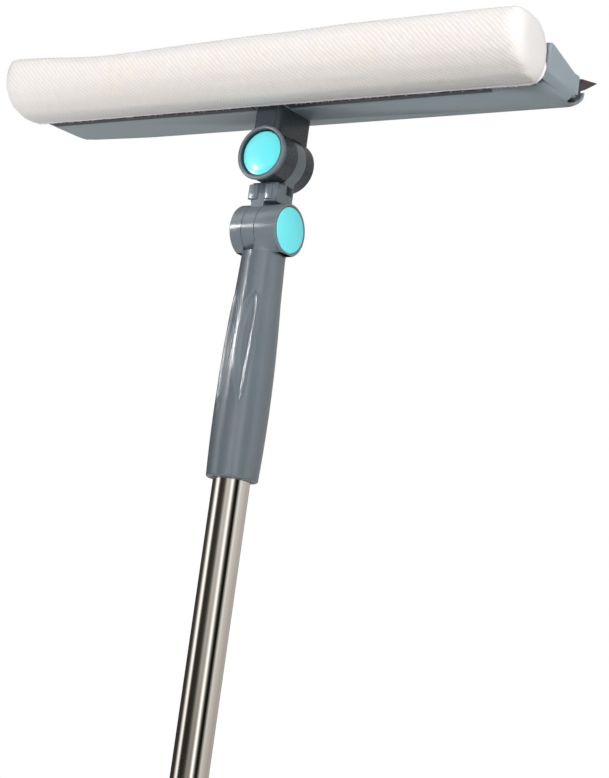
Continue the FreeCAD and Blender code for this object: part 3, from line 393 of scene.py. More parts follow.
def blowUp(piece):
    # cloth with a little pressure inside; no point moves further than the reach
    rest = meshCoordinates(piece.data)
    held = rest[:, 1] > padHigh.y - padSet["heldBand"] * mm
    group = piece.vertex_groups.new(name="pinned")
    group.add([int(number) for number in numpy.nonzero(held)[0]], 1.0, "REPLACE")
    cloth = piece.modifiers.new("Cloth", "CLOTH").settings
    cloth.use_pressure = True
    cloth.uniform_pressure_force = padSet["pressure"]
    cloth.effector_weights.gravity = 0
    cloth.vertex_group_mass = "pinned"
    cloth.quality = 8
    cloth.tension_stiffness = padSet["stretch"]
    cloth.compression_stiffness = padSet["stretch"]
    cloth.bending_stiffness = padSet["bend"]
    for step in range(1, padSet["frames"] + 1):
        scene.frame_set(step)
    graph = bpy.context.evaluated_depsgraph_get()
    final = bpy.data.meshes.new_from_object(piece.evaluated_get(graph))
    moved = meshCoordinates(final) - rest
    length = numpy.linalg.norm(moved, axis=1)
    moved *= (numpy.minimum(length, padSet["reach"] * mm) / numpy.maximum(length, 1e-9))[:, None]
    piece.modifiers.clear()
    piece.vertex_groups.clear()
    moveVertices(piece.data, rest + moved)
    scene.frame_set(1)


def sectionTable():
    # distance from the section's middle and length along it, by angle
    size = padHigh - padLow
    parts = 12        # of each round corner
    points = []
    for corner, ySide, zSide, start in (("backTop", 1, 1, 0), ("frontTop", -1, 1, 90),
                                        ("frontBottom", -1, -1, 180), ("backBottom", 1, -1, 270)):
        radius = padSet[corner] * mm
        centre = (ySide * (size.y / 2 - radius), zSide * (size.z / 2 - radius))
        for step in range(parts + 1):
            turn = math.radians(start + step * 90 / parts)
            points.append((centre[0] + radius * math.cos(turn), centre[1] + radius * math.sin(turn)))
    points = numpy.array(points + points[:1])
    fine = numpy.concatenate([numpy.linspace(first, second, 8, endpoint=False)
                              for first, second in zip(points[:-1], points[1:])])
    angle = numpy.arctan2(fine[:, 1], fine[:, 0])
    steps = numpy.linalg.norm(numpy.diff(fine, axis=0, append=fine[:1]), axis=1)
    along = numpy.concatenate([[0], numpy.cumsum(steps)[:-1]])
    order = numpy.argsort(angle)
    return angle[order], numpy.linalg.norm(fine, axis=1)[order], along[order]


def weavePlaces(spots):
    # metres of cloth along the pad and round its section; round an end the cloth turns inwards
    angle, outward, along = sectionTable()
    across, up = spots[:, 1] - padMiddle.y, spots[:, 2] - padMiddle.z
    turn = numpy.arctan2(up, across)
    edge = numpy.interp(turn, angle, outward)
    inward = numpy.maximum(0, edge - numpy.hypot(across, up) - padSet["fold"] * mm)
    side = numpy.sign(spots[:, 0] - padMiddle.x)
    past = numpy.abs(spots[:, 0] - padMiddle.x) > (padHigh.x - padLow.x) / 2 - 2 * padSet["endRound"] * mm
    return spots[:, 0] + side * inward * past, numpy.interp(turn, angle, along)


def clothNoise(along, around, patchMm, layer):
    # a smooth unevenness of the cloth, in patches of about this size
    patch = patchMm * mm
    return numpy.array([noise.noise(Vector((first / patch, second / patch, layer)))
                        for first, second in zip(along, around)])


def weaveRelief(along, around):
    # 0 between threads, 1 on a rib: twill ribs that run down to the right over the front, crossed by finer
    # picks, both drifting a little as in knocked-about cloth
    slow, quick = clothNoise(along, around, 16, 0.0), clothNoise(along, around, 3.5, 7.0)
    drift = slow * 2.0 + quick * 1.2
    ribPlace, pickPlace = (along - around) * 0.7071, along * 0.8 + around * 0.6
    rib = 0.5 + 0.5 * numpy.sin(2 * math.pi * ribPlace / (padSet["ribPitch"] * mm) + drift)
    pick = 0.5 + 0.5 * numpy.sin(2 * math.pi * pickPlace / (padSet["pickPitch"] * mm) - drift)
    return rib * 0.6 + pick * 0.25 + 0.15 * (0.5 + quick)


def storeFloat(mesh, name, values):
    mesh.attributes.new(name, "FLOAT", "POINT").data.foreach_set("value", values.astype(numpy.float32))


def storeUv(mesh, name, first, second):
    loops = numpy.empty(len(mesh.loops), dtype=numpy.int32)
    mesh.loops.foreach_get("vertex_index", loops)
    pairs = numpy.stack([first[loops], second[loops]], axis=1)
    mesh.uv_layers.new(name=name).data.foreach_set("uv", pairs.astype(numpy.float32).ravel())


def topDips(away):
    # how far the pad's top dips, in mm, at places in mm from its middle; the grid is wider than the pad
    line = numpy.array(padSet["topLine"])
    step = 2.0
    grid = numpy.arange(-190.0, 191.0, step)
    kernel = numpy.exp(-(numpy.arange(-12, 13) * step / padSet["topSmooth"]) ** 2)
    dips = numpy.convolve(numpy.interp(grid, line[:, 0], line[:, 1]), kernel / kernel.sum(), mode="same")
    return numpy.interp(away, grid, dips)


def makePad():
    pad = addPiece("microfibrePad", padBlank(), microfibre, "head", ("pad_cover", "pad_core"))
    applied(pad, "REMESH", mode="VOXEL", voxel_size=padSet["mesh"] * mm, use_smooth_shade=True)
    blowUp(pad)
    applied(pad, "SUBSURF", levels=3, render_levels=3)
    mesh = pad.data
    spots = meshCoordinates(mesh)
    spots[:, 1] = numpy.minimum(spots[:, 1], padHigh.y)
    upper = numpy.clip((spots[:, 2] - padMiddle.z) / (padHigh.z - padMiddle.z), 0, 1)
    spots[:, 2] -= topDips((spots[:, 0] - padMiddle.x) / mm) * mm * upper
    along, around = weavePlaces(spots)
    relief = weaveRelief(along, around)
    halfLength = (padHigh.x - padLow.x) / 2
    fromEnd = (halfLength - numpy.abs(spots[:, 0] - padMiddle.x)) / (padSet["plainEnd"] * mm)
    flat = 0.55       # what the relief comes to where the weave is flattened
    relief = flat + (relief - flat) * numpy.clip(fromEnd, 0.25, 1)
    normals = numpy.empty(len(mesh.vertices) * 3)
    mesh.vertices.foreach_get("normal", normals)
    free = numpy.clip((padHigh.y - spots[:, 1]) / (padSet["heldBand"] * mm), 0, 1)
    spots += normals.reshape(-1, 3) * ((relief - 0.5) * padSet["ribDepth"] * mm * free)[:, None]
    moveVertices(mesh, spots)
    storeFloat(mesh, "relief", relief)
    storeUv(mesh, "weave", along, around)
    for face in mesh.polygons:
        face.use_smooth = True
    mesh.materials.clear()
    mesh.materials.append(microfibre)
    return pad


pad = makePad()
print("pad ready")


# push buttons: a crowned disc with a shallow ring near its rim, on three guide legs; lengths in mm
buttonSet = {
    "crown": 0.9,
    "edge": 0.7,          # round of the rim
    "ring": 0.84,         # share of the radius where the shallow ring lies
    "ringDepth": 0.12,
    "ringWidth": 0.5,
    "capDepth": 2.4,
    "legCircle": 6.0,
    "legRadius": 1.3,
    "proud": {"swing_button": 1.3, "tilt_button": 1.4},     # how far it stands above the plain cap's place
    "steps": 96,
    "crownSteps": 32,
    "edgeSteps": 6,
}


def spunBody(profile, steps):
    # profile: (radius, height) points in metres, turned full circle about +Z
    build = bmesh.new()
    verts = [build.verts.new((radius, 0.0, height)) for radius, height in profile]
    for first, second in zip(verts, verts[1:]):
        build.edges.new((first, second))
    bmesh.ops.spin(build, geom=build.verts[:] + build.edges[:], cent=(0, 0, 0), axis=(0, 0, 1),
                   angle=2 * math.pi, steps=steps, use_merge=True, use_duplicate=False)
    bmesh.ops.remove_doubles(build, verts=build.verts, dist=1e-7)
    return build


def turnTo(build, axis, origin):
    # lays +Z of a build along the axis and moves it to the origin
    turn = Vector((0, 0, 1)).rotation_difference(Vector(axis)).to_matrix().to_4x4()
    bmesh.ops.transform(build, matrix=Matrix.Translation(origin) @ turn, verts=build.verts)


def makeButton(name, node, body, axis):
    low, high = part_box(node)
    middle = (low + high) / 2
    axis = Vector(axis)
    reach = max((corner - middle).dot(axis) for corner in (low, high))
    proud = buttonSet["proud"][node] * mm
    across = [index for index in range(3) if abs(axis[index]) < 0.5]
    radius = (high[across[0]] - low[across[0]]) / 2
    crown, edge = buttonSet["crown"] * mm, buttonSet["edge"] * mm
    ring, ringWidth = buttonSet["ring"] * radius, buttonSet["ringWidth"] * mm
    bow = radius ** 2 / crown
    profile = [(0.0, 0.0)]
    for step in range(1, buttonSet["crownSteps"] + 1):
        out = (radius - edge) * step / buttonSet["crownSteps"]
        dip = buttonSet["ringDepth"] * mm * max(0.0, 1 - abs(out - ring) / ringWidth)
        profile.append((out, -out * out / bow - dip))
    rimTop = profile[-1][1]
    for step in range(1, buttonSet["edgeSteps"] + 1):
        turn = math.pi / 2 * step / buttonSet["edgeSteps"]
        profile.append((radius - edge + edge * math.sin(turn), rimTop - edge * (1 - math.cos(turn))))
    base = -buttonSet["capDepth"] * mm - proud
    profile += [(radius, base), (0.0, base)]
    build = spunBody(profile, buttonSet["steps"])
    depth = reach * 2 + proud
    circle, legRadius = buttonSet["legCircle"] * mm, buttonSet["legRadius"] * mm
    for leg in range(3):
        turn = math.radians(90 + 120 * leg)
        place = Matrix.Translation((circle * math.cos(turn), circle * math.sin(turn), (base - depth) / 2))
        bmesh.ops.create_cone(build, cap_ends=True, segments=20, radius1=legRadius, radius2=legRadius,
                              depth=depth + base, matrix=place)
    turnTo(build, axis, middle + axis * (reach + proud))
    addPiece(name, build, buttonAcetal, body, (node,))


makeButton("swingButtonCap", "swing_button", "swing_lock", (0, -1, 0))
makeButton("tiltButtonCap", "tilt_button", "tilt_lock", (1, 0, 0))
print("buttons ready")


# bezel: rounded ring moulded round the upper button's recess
bezelSet = {"inner": 12.3, "outer": 14.5, "back": 4.0, "backStep": 0.7, "rise": 0.3, "steps": 96,
            "roundSteps": 12}


def makeBezel():
    low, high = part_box("swing_button")
    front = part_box("head_bracket")[0].y - bezelSet["rise"] * mm
    inner, outer, back = bezelSet["inner"] * mm, bezelSet["outer"] * mm, -bezelSet["back"] * mm
    middle, half = (inner + outer) / 2, (outer - inner) / 2
    profile = [(inner, back)]
    for step in range(bezelSet["roundSteps"] + 1):
        turn = math.pi * step / bezelSet["roundSteps"]
        profile.append((middle - half * math.cos(turn), -half + half * math.sin(turn)))
    profile += [(outer - bezelSet["backStep"] * mm, back), (inner, back)]
    build = spunBody(profile, bezelSet["steps"])
    turnTo(build, (0, -1, 0), Vector(((low.x + high.x) / 2, front, (low.z + high.z) / 2)))
    # painted highlight: the ring keeps the joints' lighter nylon rather than the bracket's darkened one, so
    # that it reads as a lit rim
    addPiece("swingBezel", build, jointNylon, "head")


makeBezel()
print("bezel ready")


def nodeCopy(nodeName):
    # a CAD node's mesh in place, with its split points merged
    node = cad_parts[nodeName]
    build = bmesh.new()
    build.from_mesh(node.data)
    bmesh.ops.transform(build, matrix=node.matrix_world, verts=build.verts)
    bmesh.ops.remove_doubles(build, verts=build.verts, dist=1e-6)
    return build


def block(low, high):
    # a plain box between two corners
    build = bmesh.new()
    bmesh.ops.create_cube(build, size=1.0)
    bmesh.ops.scale(build, vec=Vector(high) - Vector(low), verts=build.verts)
    bmesh.ops.translate(build, vec=(Vector(low) + Vector(high)) / 2, verts=build.verts)
    return build


def roundedBar(name, low, high, edge, material, body):
    build = block(low, high)
    bmesh.ops.bevel(build, geom=build.edges[:], offset=edge * mm, segments=3, profile=0.5, affect="EDGES",
                    material=-1)
    return addPiece(name, build, material, body)


def keepCorners(piece, degrees=32):
    # smooth shading with crisp corners
    for face in piece.data.polygons:
        face.use_smooth = True
    piece.data.set_sharp_from_angle(angle=math.radians(degrees))


# the head's underside rises a little towards its rounded left rear corner, and all that sits there rises with
# it; lengths in mm
headSet = {
    "riseFrom": -95.0,    # where along the head the rise begins
    "rise": 1.5,
    "cornerReach": 16.0,
    "cornerRise": 2.6,
    "fadeHeight": 12.0,   # above the underside, where nothing moves any more
    "cuts": 9,
}


def raiseCorner(build):
    low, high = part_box("head_base")
    start, corner = headSet["riseFrom"] * mm, headSet["cornerReach"] * mm
    for axis, first, last in ((0, low.x, start), (1, high.y - corner, high.y)):
        direction = Vector((0, 0, 0))
        direction[axis] = 1.0
        for step in range(1, headSet["cuts"]):
            spot = Vector((0, 0, 0))
            spot[axis] = first + (last - first) * step / headSet["cuts"]
            near = [face for face in build.faces if min(vert.co.x for vert in face.verts) < start]
            nearEdges = list({edge for face in near for edge in face.edges})
            nearVerts = list({vert for face in near for vert in face.verts})
            bmesh.ops.bisect_plane(build, geom=near + nearEdges + nearVerts, plane_co=spot,
                                   plane_no=direction, dist=1e-6)
    for vert in build.verts:
        if vert.co.x >= start:
            continue
        fade = min(1.0, max(0.0, 1 - (vert.co.z - low.z) / (headSet["fadeHeight"] * mm)))
        back = min(1.0, max(0.0, (vert.co.y - low.y) / (high.y - low.y)))
        share = (start - vert.co.x) / (start - low.x)
        away = math.hypot(vert.co.x - low.x, vert.co.y - high.y)
        tip = max(0.0, 1 - away / corner)
        slope = headSet["rise"] * share * share * (3 - 2 * share) * back
        vert.co.z += (slope + headSet["cornerRise"] * tip * tip) * mm * fade


# two moulded ribs on the link's front; lengths in mm
ribSet = {"spans": ((-9.0, -3.4), (1.2, 5.4)), "height": 8.0, "depth": 0.9, "sunk": 0.5, "front": 8.0,
          "edge": 0.5}
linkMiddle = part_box("head_bracket")[0].z / 2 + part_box("grip_socket")[1].z / 2


def makeRibs():
    rise, front = ribSet["height"] / 2 * mm, -ribSet["front"] * mm
    for number, (left, right) in enumerate(ribSet["spans"], start=1):
        roundedBar(f"linkRib{number}", (left * mm, front - ribSet["depth"] * mm, linkMiddle - rise),
                   (right * mm, front + ribSet["sunk"] * mm, linkMiddle + rise), ribSet["edge"], jointNylon,
                   "link")


# blade in its holder, and the lips that close the holder's ends; lengths in mm
holderSet = {"short": 2.3, "lipGap": 0.05, "lipFront": 1.0, "lipRise": 0.6, "lipCover": 2.6, "lipBevel": 2.2}


def makeHolder():
    holderLow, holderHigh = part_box("blade_holder")
    short = holderSet["short"] * mm
    holder = nodeCopy("blade_holder")
    bmesh.ops.scale(holder, vec=(1 - short / holderHigh.x, 1, 1), verts=holder.verts)
    raiseCorner(holder)
    addPiece("holderBody", holder, holderPvcAndSlotShade, "head", ("blade_holder",), smooth=False)
    blade = nodeCopy("rubber_blade")
    raiseCorner(blade)
    keepCorners(addPiece("bladeBody", blade, bladeRubber, "head", ("rubber_blade",)))
    gap = holderSet["lipGap"] * mm
    for word, side in (("Right", 1), ("Left", -1)):
        near, far = side * (holderHigh.x - short + gap), side * (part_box("head_base")[1].x - gap)
        low = Vector((min(near, far), holderLow.y - holderSet["lipFront"] * mm,
                      holderLow.z + holderSet["lipRise"] * mm))
        high = Vector((max(near, far), holderLow.y + holderSet["lipCover"] * mm, holderHigh.z))
        lip = block(low, high)
        outer = [edge for edge in lip.edges if all(
            abs(vert.co.x - far) < 1e-6 and abs(vert.co.z - low.z) < 1e-6 for vert in edge.verts)]
        bmesh.ops.bevel(lip, geom=outer, offset=holderSet["lipBevel"] * mm, segments=4, profile=0.5,
                        affect="EDGES", material=-1)
        raiseCorner(lip)
        addPiece(f"headEndLip{word}", lip, shellAbs, "head", smooth=False)


# painted shadow: a thin dark strip under the pad, left and right of the bracket, standing in for the pad's
# shadow on the head's underside; lengths in mm
shadowStripSet = {"drop": 0.45, "sunk": 0.2, "front": 2.8, "rear": 1.4, "gap": 10.5, "shortLeft": 5.0,
             "shortRight": 25.0, "edge": 0.25}


def makeShadowStrip():
    plateLow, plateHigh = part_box("pad_plate")
    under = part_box("head_base")[0].z
    gap = shadowStripSet["gap"] * mm
    for word, start, end in (("Left", plateLow.x + shadowStripSet["shortLeft"] * mm, -gap),
                             ("Right", gap, plateHigh.x - shadowStripSet["shortRight"] * mm)):
        roundedBar(f"plateShadowStrip{word}",
                   (start, plateHigh.y - shadowStripSet["front"] * mm, under - shadowStripSet["drop"] * mm),
                   (end, plateHigh.y + shadowStripSet["rear"] * mm, under + shadowStripSet["sunk"] * mm),
                   shadowStripSet["edge"], shadowStripNylon, "head")


def makeHead():
    shell = nodeCopy("head_base")
    raiseCorner(shell)
    keepCorners(addPiece("headShell", shell, shellAbs, "head", ("head_base",)))


makeRibs()
makeHolder()
makeShadowStrip()
makeHead()
print("ribs, blade, shadowStrip and head ready")


# link: the moulded block has a weight-saving pocket in its right side; lengths in mm
linkSet = {"side": 8.0, "pocketDepth": 4.5, "pocketFront": 0.6, "pocketRear": 6.8, "pocketLow": 0.6,
           "pocketHigh": 5.4, "pocketEdge": 0.4}


def cutAway(piece, cutter):
    applied(piece, "BOOLEAN", object=cutter, operation="DIFFERENCE", solver="EXACT")
    bpy.data.objects.remove(cutter)


def makeLink():
    piece = addPiece("linkBody", nodeCopy("joint_link"), jointNylon, "link", ("joint_link",))
    low = ((linkSet["side"] - linkSet["pocketDepth"]) * mm, linkSet["pocketFront"] * mm,
           linkMiddle + linkSet["pocketLow"] * mm)
    high = ((linkSet["side"] + 1) * mm, linkSet["pocketRear"] * mm, linkMiddle + linkSet["pocketHigh"] * mm)
    pocket = roundedBar("linkCutter", low, high, linkSet["pocketEdge"], jointNylon, "link")
    cutAway(piece, pocket)
    keepCorners(piece)


makeLink()
print("link ready")


# seam of the pad: a rolled edge round its back, with an overlock stitch over it and loose loops of pile;
# lengths in mm
seamSet = {
    "roll": 0.7,
    "proud": 0.35,        # share of the roll's radius by which its middle stands off the cloth
    "wave": 0.12,         # how far the roll wanders
    "waveScale": 300,     # its waves per metre
    "inset": 3.2,         # from the pad's back
    "corner": 8.0,
    "stitchPitch": 2.6,
    "stitchWire": 0.16,
    "stitchProud": 1.02,  # how far from the roll's middle it lies, in the roll's radii
    "nubPitch": 1.4,
    "nubLength": 0.9,
    "nubFoot": 0.22,
    "nubTip": 0.08,
    "nubStart": 0.9,      # how far from the roll's middle it grows, in the roll's radii
    "nubMissing": 0.3,    # share of the places without a loop
    "seed": 7,
}


def seamPath(pad):
    # closed path round the pad near its back, found by casting rays: points on the cloth, each with the
    # direction outwards
    tree = BVHTree.FromObject(pad, bpy.context.evaluated_depsgraph_get())
    y = padHigh.y - seamSet["inset"] * mm
    half = Vector(((padHigh.x - padLow.x) / 2, 0, (padHigh.z - padLow.z) / 2))
    radius = seamSet["corner"] * mm
    cornerSteps, edgeSteps = 8, 40
    path = []
    for xSide, zSide, start in ((1, 1, 0), (-1, 1, 90), (-1, -1, 180), (1, -1, 270)):
        run = half.x - radius
        centre = Vector((padMiddle.x + xSide * run, y, padMiddle.z + zSide * (half.z - radius)))
        for step in range(cornerSteps + 1):
            turn = math.radians(start + step * 90 / cornerSteps)
            path.append((centre, Vector((math.cos(turn), 0, math.sin(turn)))))
        if zSide != xSide:
            continue
        for step in range(1, edgeSteps):
            place = centre.x - xSide * run * step * 2 / edgeSteps
            path.append((Vector((place, y, centre.z)), Vector((0, 0, zSide))))
    hugging = []
    for centre, out in path:
        spot = tree.ray_cast(centre + out * 20 * mm, -out)[0]
        if spot is not None:
            hugging.append((spot + out * seamSet["roll"] * mm * seamSet["proud"], out))
    return hugging


def evenPath(path, pitch):
    # the closed path again with points at an even pitch
    points = [spot for spot, out in path] + [path[0][0]]
    outs = [out for spot, out in path] + [path[0][1]]
    lengths = [0.0]
    for first, second in zip(points, points[1:]):
        lengths.append(lengths[-1] + (second - first).length)
    count = max(3, round(lengths[-1] / pitch))
    even, at = [], 0
    for number in range(count):
        goal = lengths[-1] * number / count
        while lengths[at + 1] < goal:
            at += 1
        share = (goal - lengths[at]) / max(1e-9, lengths[at + 1] - lengths[at])
        out = outs[at].lerp(outs[at + 1], share).normalized()
        even.append((points[at].lerp(points[at + 1], share), out))
    return even


def loopAlong(name, points, radius, sides):
    # a closed round strand through the points, made by a curve's bevel and turned into a mesh
    curve = bpy.data.curves.new(name, "CURVE")
    curve.dimensions = "3D"
    curve.bevel_depth = radius
    curve.bevel_resolution = sides
    strand = curve.splines.new("POLY")
    strand.points.add(len(points) - 1)
    for number, point in enumerate(points):
        strand.points[number].co = (*point, 1.0)
    strand.use_cyclic_u = True
    holder = bpy.data.objects.new(name, curve)
    scene.collection.objects.link(holder)
    mesh = bpy.data.meshes.new_from_object(holder.evaluated_get(bpy.context.evaluated_depsgraph_get()))
    bpy.data.objects.remove(holder)
    bpy.data.curves.remove(curve)
    build = bmesh.new()
    build.from_mesh(mesh)
    bpy.data.meshes.remove(mesh)
    return build


def makeSeam(pad):
    path = seamPath(pad)
    roll = seamSet["roll"] * mm
    wavy = [spot + out * (seamSet["wave"] * mm * noise.noise(spot * seamSet["waveScale"]))
            for spot, out in evenPath(path, 2 * mm)]
    addPiece("padSeamRoll", loopAlong("padSeamRoll", wavy, roll, 5), seamCloth, "head")
    wraps = []
    for number, (spot, out) in enumerate(evenPath(path, seamSet["stitchPitch"] * mm / 4)):
        turn = math.pi / 2 * number
        side = Vector((0, 1, 0))
        wraps.append(spot + (out * math.cos(turn) + side * math.sin(turn)) * roll * seamSet["stitchProud"])
    stitch = loopAlong("padSeamStitch", wraps, seamSet["stitchWire"] * mm, 1)
    addPiece("padSeamStitch", stitch, seamThread, "head")
    random.seed(seamSet["seed"])
    nubs = bmesh.new()
    for spot, out in evenPath(path, seamSet["nubPitch"] * mm):
        if random.random() < seamSet["nubMissing"]:
            continue
        length = seamSet["nubLength"] * mm * random.uniform(0.4, 1.0)
        lean = Vector((random.uniform(-0.5, 0.5), random.uniform(-0.1, 0.5), random.uniform(-0.3, 0.3)))
        direction = (out + lean).normalized()
        turn = Vector((0, 0, 1)).rotation_difference(direction).to_matrix().to_4x4()
        place = Matrix.Translation(spot + direction * (roll * seamSet["nubStart"] + length / 2)) @ turn
        bmesh.ops.create_cone(nubs, cap_ends=True, segments=5, radius1=seamSet["nubFoot"] * mm,
                              radius2=seamSet["nubTip"] * mm, depth=length, matrix=place)
    addPiece("padSeamPile", nubs, seamCloth, "head")


makeSeam(pad)
print("pad seam ready")


# grip socket: tapered body with a leaf-shaped finger groove each side of its front, and the fork above it;
# lengths in mm, heights above the socket's foot
gripSet = {
    "bore": 9.55,
    "boreDepth": 60.0,
    "edgeRound": 1.2,
    "footRadius": 13.2,
    "taperRadius": 12.1,    # at the top of the belly
    "neckRadius": 11.3,
    "bowRadius": 814.0,     # of the belly's long bow
    "bellyHeight": 92.0,
    "neckHeight": 114.0,
    "jointHeight": 117.0,   # where the turned body meets the fork
    "leafMiddle": 66.5,
    "leafHalf": 29.5,       # half length
    "leafWidth": 3.3,       # half width at its middle
    "leafSpread": 0.25,     # share by which it is wider above its middle and narrower below
    "leafTurn": {-1: 27.0, 1: 21.0},    # degrees from the front, to the left and to the right
    "leafBow": 1.4,         # how much further from the front its ends lie than its middle
    "leafDepth": 1.0,
    "leafWall": 1.9,        # over which its wall slopes down
    "leafEnd": 1.25,        # past this share of its half length nothing of it is left
    "bead": 0.42,
    "beadFade": 0.12,       # share of the half length over which the bead fades out at the tips
    "beadWidth": 0.45,
    "beadOut": 0.35,        # how far outside the leaf the bead's ridge lies
    "slotReach": 16.5,      # how far the slot under the link's ring reaches from the tilt axis
    "slotStart": 2.0,
    "slotGap": 0.1,
    "slotEdge": 0.3,
    "ringReach": 6.0,       # what lies lower than this above the joint height belongs to the link's ring
    "steps": 168,
    "rings": 150,
}


def gripRadius(height):
    # outer radius in mm at a height above the foot, along the bowed taper and the cone above it
    foot, taper, neck = gripSet["footRadius"], gripSet["taperRadius"], gripSet["neckRadius"]
    belly = gripSet["bellyHeight"]
    if height < belly:
        share = height / belly
        bow = belly ** 2 / (8 * gripSet["bowRadius"])
        return foot + (taper - foot) * share + bow * 4 * share * (1 - share)
    if height < gripSet["neckHeight"]:
        share = (height - belly) / (gripSet["neckHeight"] - belly)
        return taper + (neck - taper) * share
    return neck


def leafRelief(turn, height):
    # mm to add to the radius: a hollow with a raised bead along its edge that fades towards the leaf's tips
    relief = 0.0
    along = (height - gripSet["leafMiddle"]) / gripSet["leafHalf"]
    if abs(along) >= gripSet["leafEnd"]:
        return relief
    for side in (-1, 1):
        away = turn - math.radians(side * gripSet["leafTurn"][side] - 90)
        away = math.atan2(math.sin(away), math.cos(away))
        across = away * gripRadius(height) - side * gripSet["leafBow"] * along * along
        half = gripSet["leafWidth"] * math.sqrt(max(0.0, 1 - along * along))
        half *= 1 + gripSet["leafSpread"] * along
        inside = half - abs(across)
        hollow = min(1.0, max(0.0, inside / gripSet["leafWall"]))
        fade = min(1.0, max(0.0, (1.0 - abs(along)) / gripSet["beadFade"]))
        bead = math.exp(-((inside + gripSet["beadOut"]) / gripSet["beadWidth"]) ** 2)
        relief += -gripSet["leafDepth"] * hollow + gripSet["bead"] * bead * fade
    return relief


def makeGripBody(foot):
    edge, top = gripSet["edgeRound"], gripSet["jointHeight"]
    bore, parts = gripSet["bore"] * mm, 6
    profile = [(bore, foot + gripSet["boreDepth"] * mm), (bore, foot)]
    for step in range(parts + 1):
        turn = math.pi / 2 * step / parts
        radius = gripRadius(edge) - edge + edge * math.sin(turn)
        profile.append((radius * mm, foot + edge * (1 - math.cos(turn)) * mm))
    for step in range(1, gripSet["rings"] + 1):
        height = edge + (top - edge) * step / gripSet["rings"]
        profile.append((gripRadius(height) * mm, foot + height * mm))
    build = spunBody(profile, gripSet["steps"])
    for vert in build.verts:
        height = (vert.co.z - foot) / mm
        radius = math.hypot(vert.co.x, vert.co.y)
        outside = radius > gripRadius(height) * mm * 0.97
        if outside and height > edge:
            turn = math.atan2(vert.co.y, vert.co.x)
            grow = (radius + leafRelief(turn, height) * mm) / radius
            vert.co.x *= grow
            vert.co.y *= grow
    addPiece("gripBody", build, gripAbs, "mast", ("grip_socket",))


def makeGripFork(foot):
    # the CAD socket's fork, with a slot cut in front of the link's ring and the rest below the joint cut away
    top = foot + gripSet["jointHeight"] * mm
    piece = addPiece("gripFork", nodeCopy("grip_socket"), jointNylon, "mast")
    ring = [vert.co.x for vert in nodeCopy("joint_link").verts if vert.co.z < top + gripSet["ringReach"] * mm]
    axis = (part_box("tilt_pin")[0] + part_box("tilt_pin")[1]) / 2
    reach, gap = gripSet["slotReach"] * mm, gripSet["slotGap"] * mm
    low = (min(ring) - gap, axis.y - reach, axis.z - reach)
    high = (max(ring) + gap, axis.y - gripSet["slotStart"] * mm, axis.z)
    slot = roundedBar("slotCutter", low, high, gripSet["slotEdge"], jointNylon, "mast")
    cutAway(piece, slot)
    fork = bmesh.new()
    fork.from_mesh(piece.data)
    bmesh.ops.bisect_plane(fork, geom=fork.verts[:] + fork.edges[:] + fork.faces[:], plane_co=(0, 0, top),
                           plane_no=(0, 0, -1), clear_outer=True)
    fork.to_mesh(piece.data)
    fork.free()
    keepCorners(piece)


makeGripBody(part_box("grip_socket")[0].z)
makeGripFork(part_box("grip_socket")[0].z)
print("grip ready")


# hand grip: soft sleeve with a waist and shallow grooves round its middle; lengths in mm
sleeveSet = {"waist": 1.2, "endRound": 2.0, "plainEnd": 12.0, "groovePitch": 4.6, "grooveWidth": 1.9,
             "grooveDepth": 0.6, "clearance": 0.05, "step": 0.4, "steps": 96}


def sleeveRadius(height, outer, half):
    # outer radius at a height above the sleeve's middle
    share = height / half
    radius = outer - sleeveSet["waist"] * (1 - share * share)
    edge = sleeveSet["endRound"]
    past = max(0.0, abs(height) - (half - edge))
    radius -= edge - math.sqrt(max(0.0, edge * edge - past * past))
    if abs(height) < half - sleeveSet["plainEnd"]:
        away = abs((height / sleeveSet["groovePitch"]) % 1 - 0.5) * sleeveSet["groovePitch"] * 2
        radius -= sleeveSet["grooveDepth"] * max(0.0, 1 - (away / sleeveSet["grooveWidth"]) ** 2)
    return radius


def makeSleeve():
    low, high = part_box("hand_grip")
    outer, half = high.x / mm, (high.z - low.z) / 2 / mm
    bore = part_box("pole_tube")[1].x / mm + sleeveSet["clearance"]
    middle = (low.z + high.z) / 2
    count = round(2 * half / sleeveSet["step"])
    profile = [(bore * mm, middle - half * mm)]
    for number in range(count + 1):
        height = -half + 2 * half * number / count
        profile.append((sleeveRadius(height, outer, half) * mm, middle + height * mm))
    profile += [(bore * mm, middle + half * mm), (bore * mm, middle - half * mm)]
    build = spunBody(profile, sleeveSet["steps"])
    keepCorners(addPiece("gripSleeve", build, softTpe, "pole", ("hand_grip",)), 40)


makeSleeve()
print("hand grip ready")


# stage: a matt floor under the pole, which camera and mirrors see partly glowing, so that it looks pale and
# still keeps the shadow
stageSet = {"floorSize": 8.0, "floorColour": "f4f4f2", "floorGlow": 0.85, "floorShare": 0.7,
            "skyStrength": 0.05}


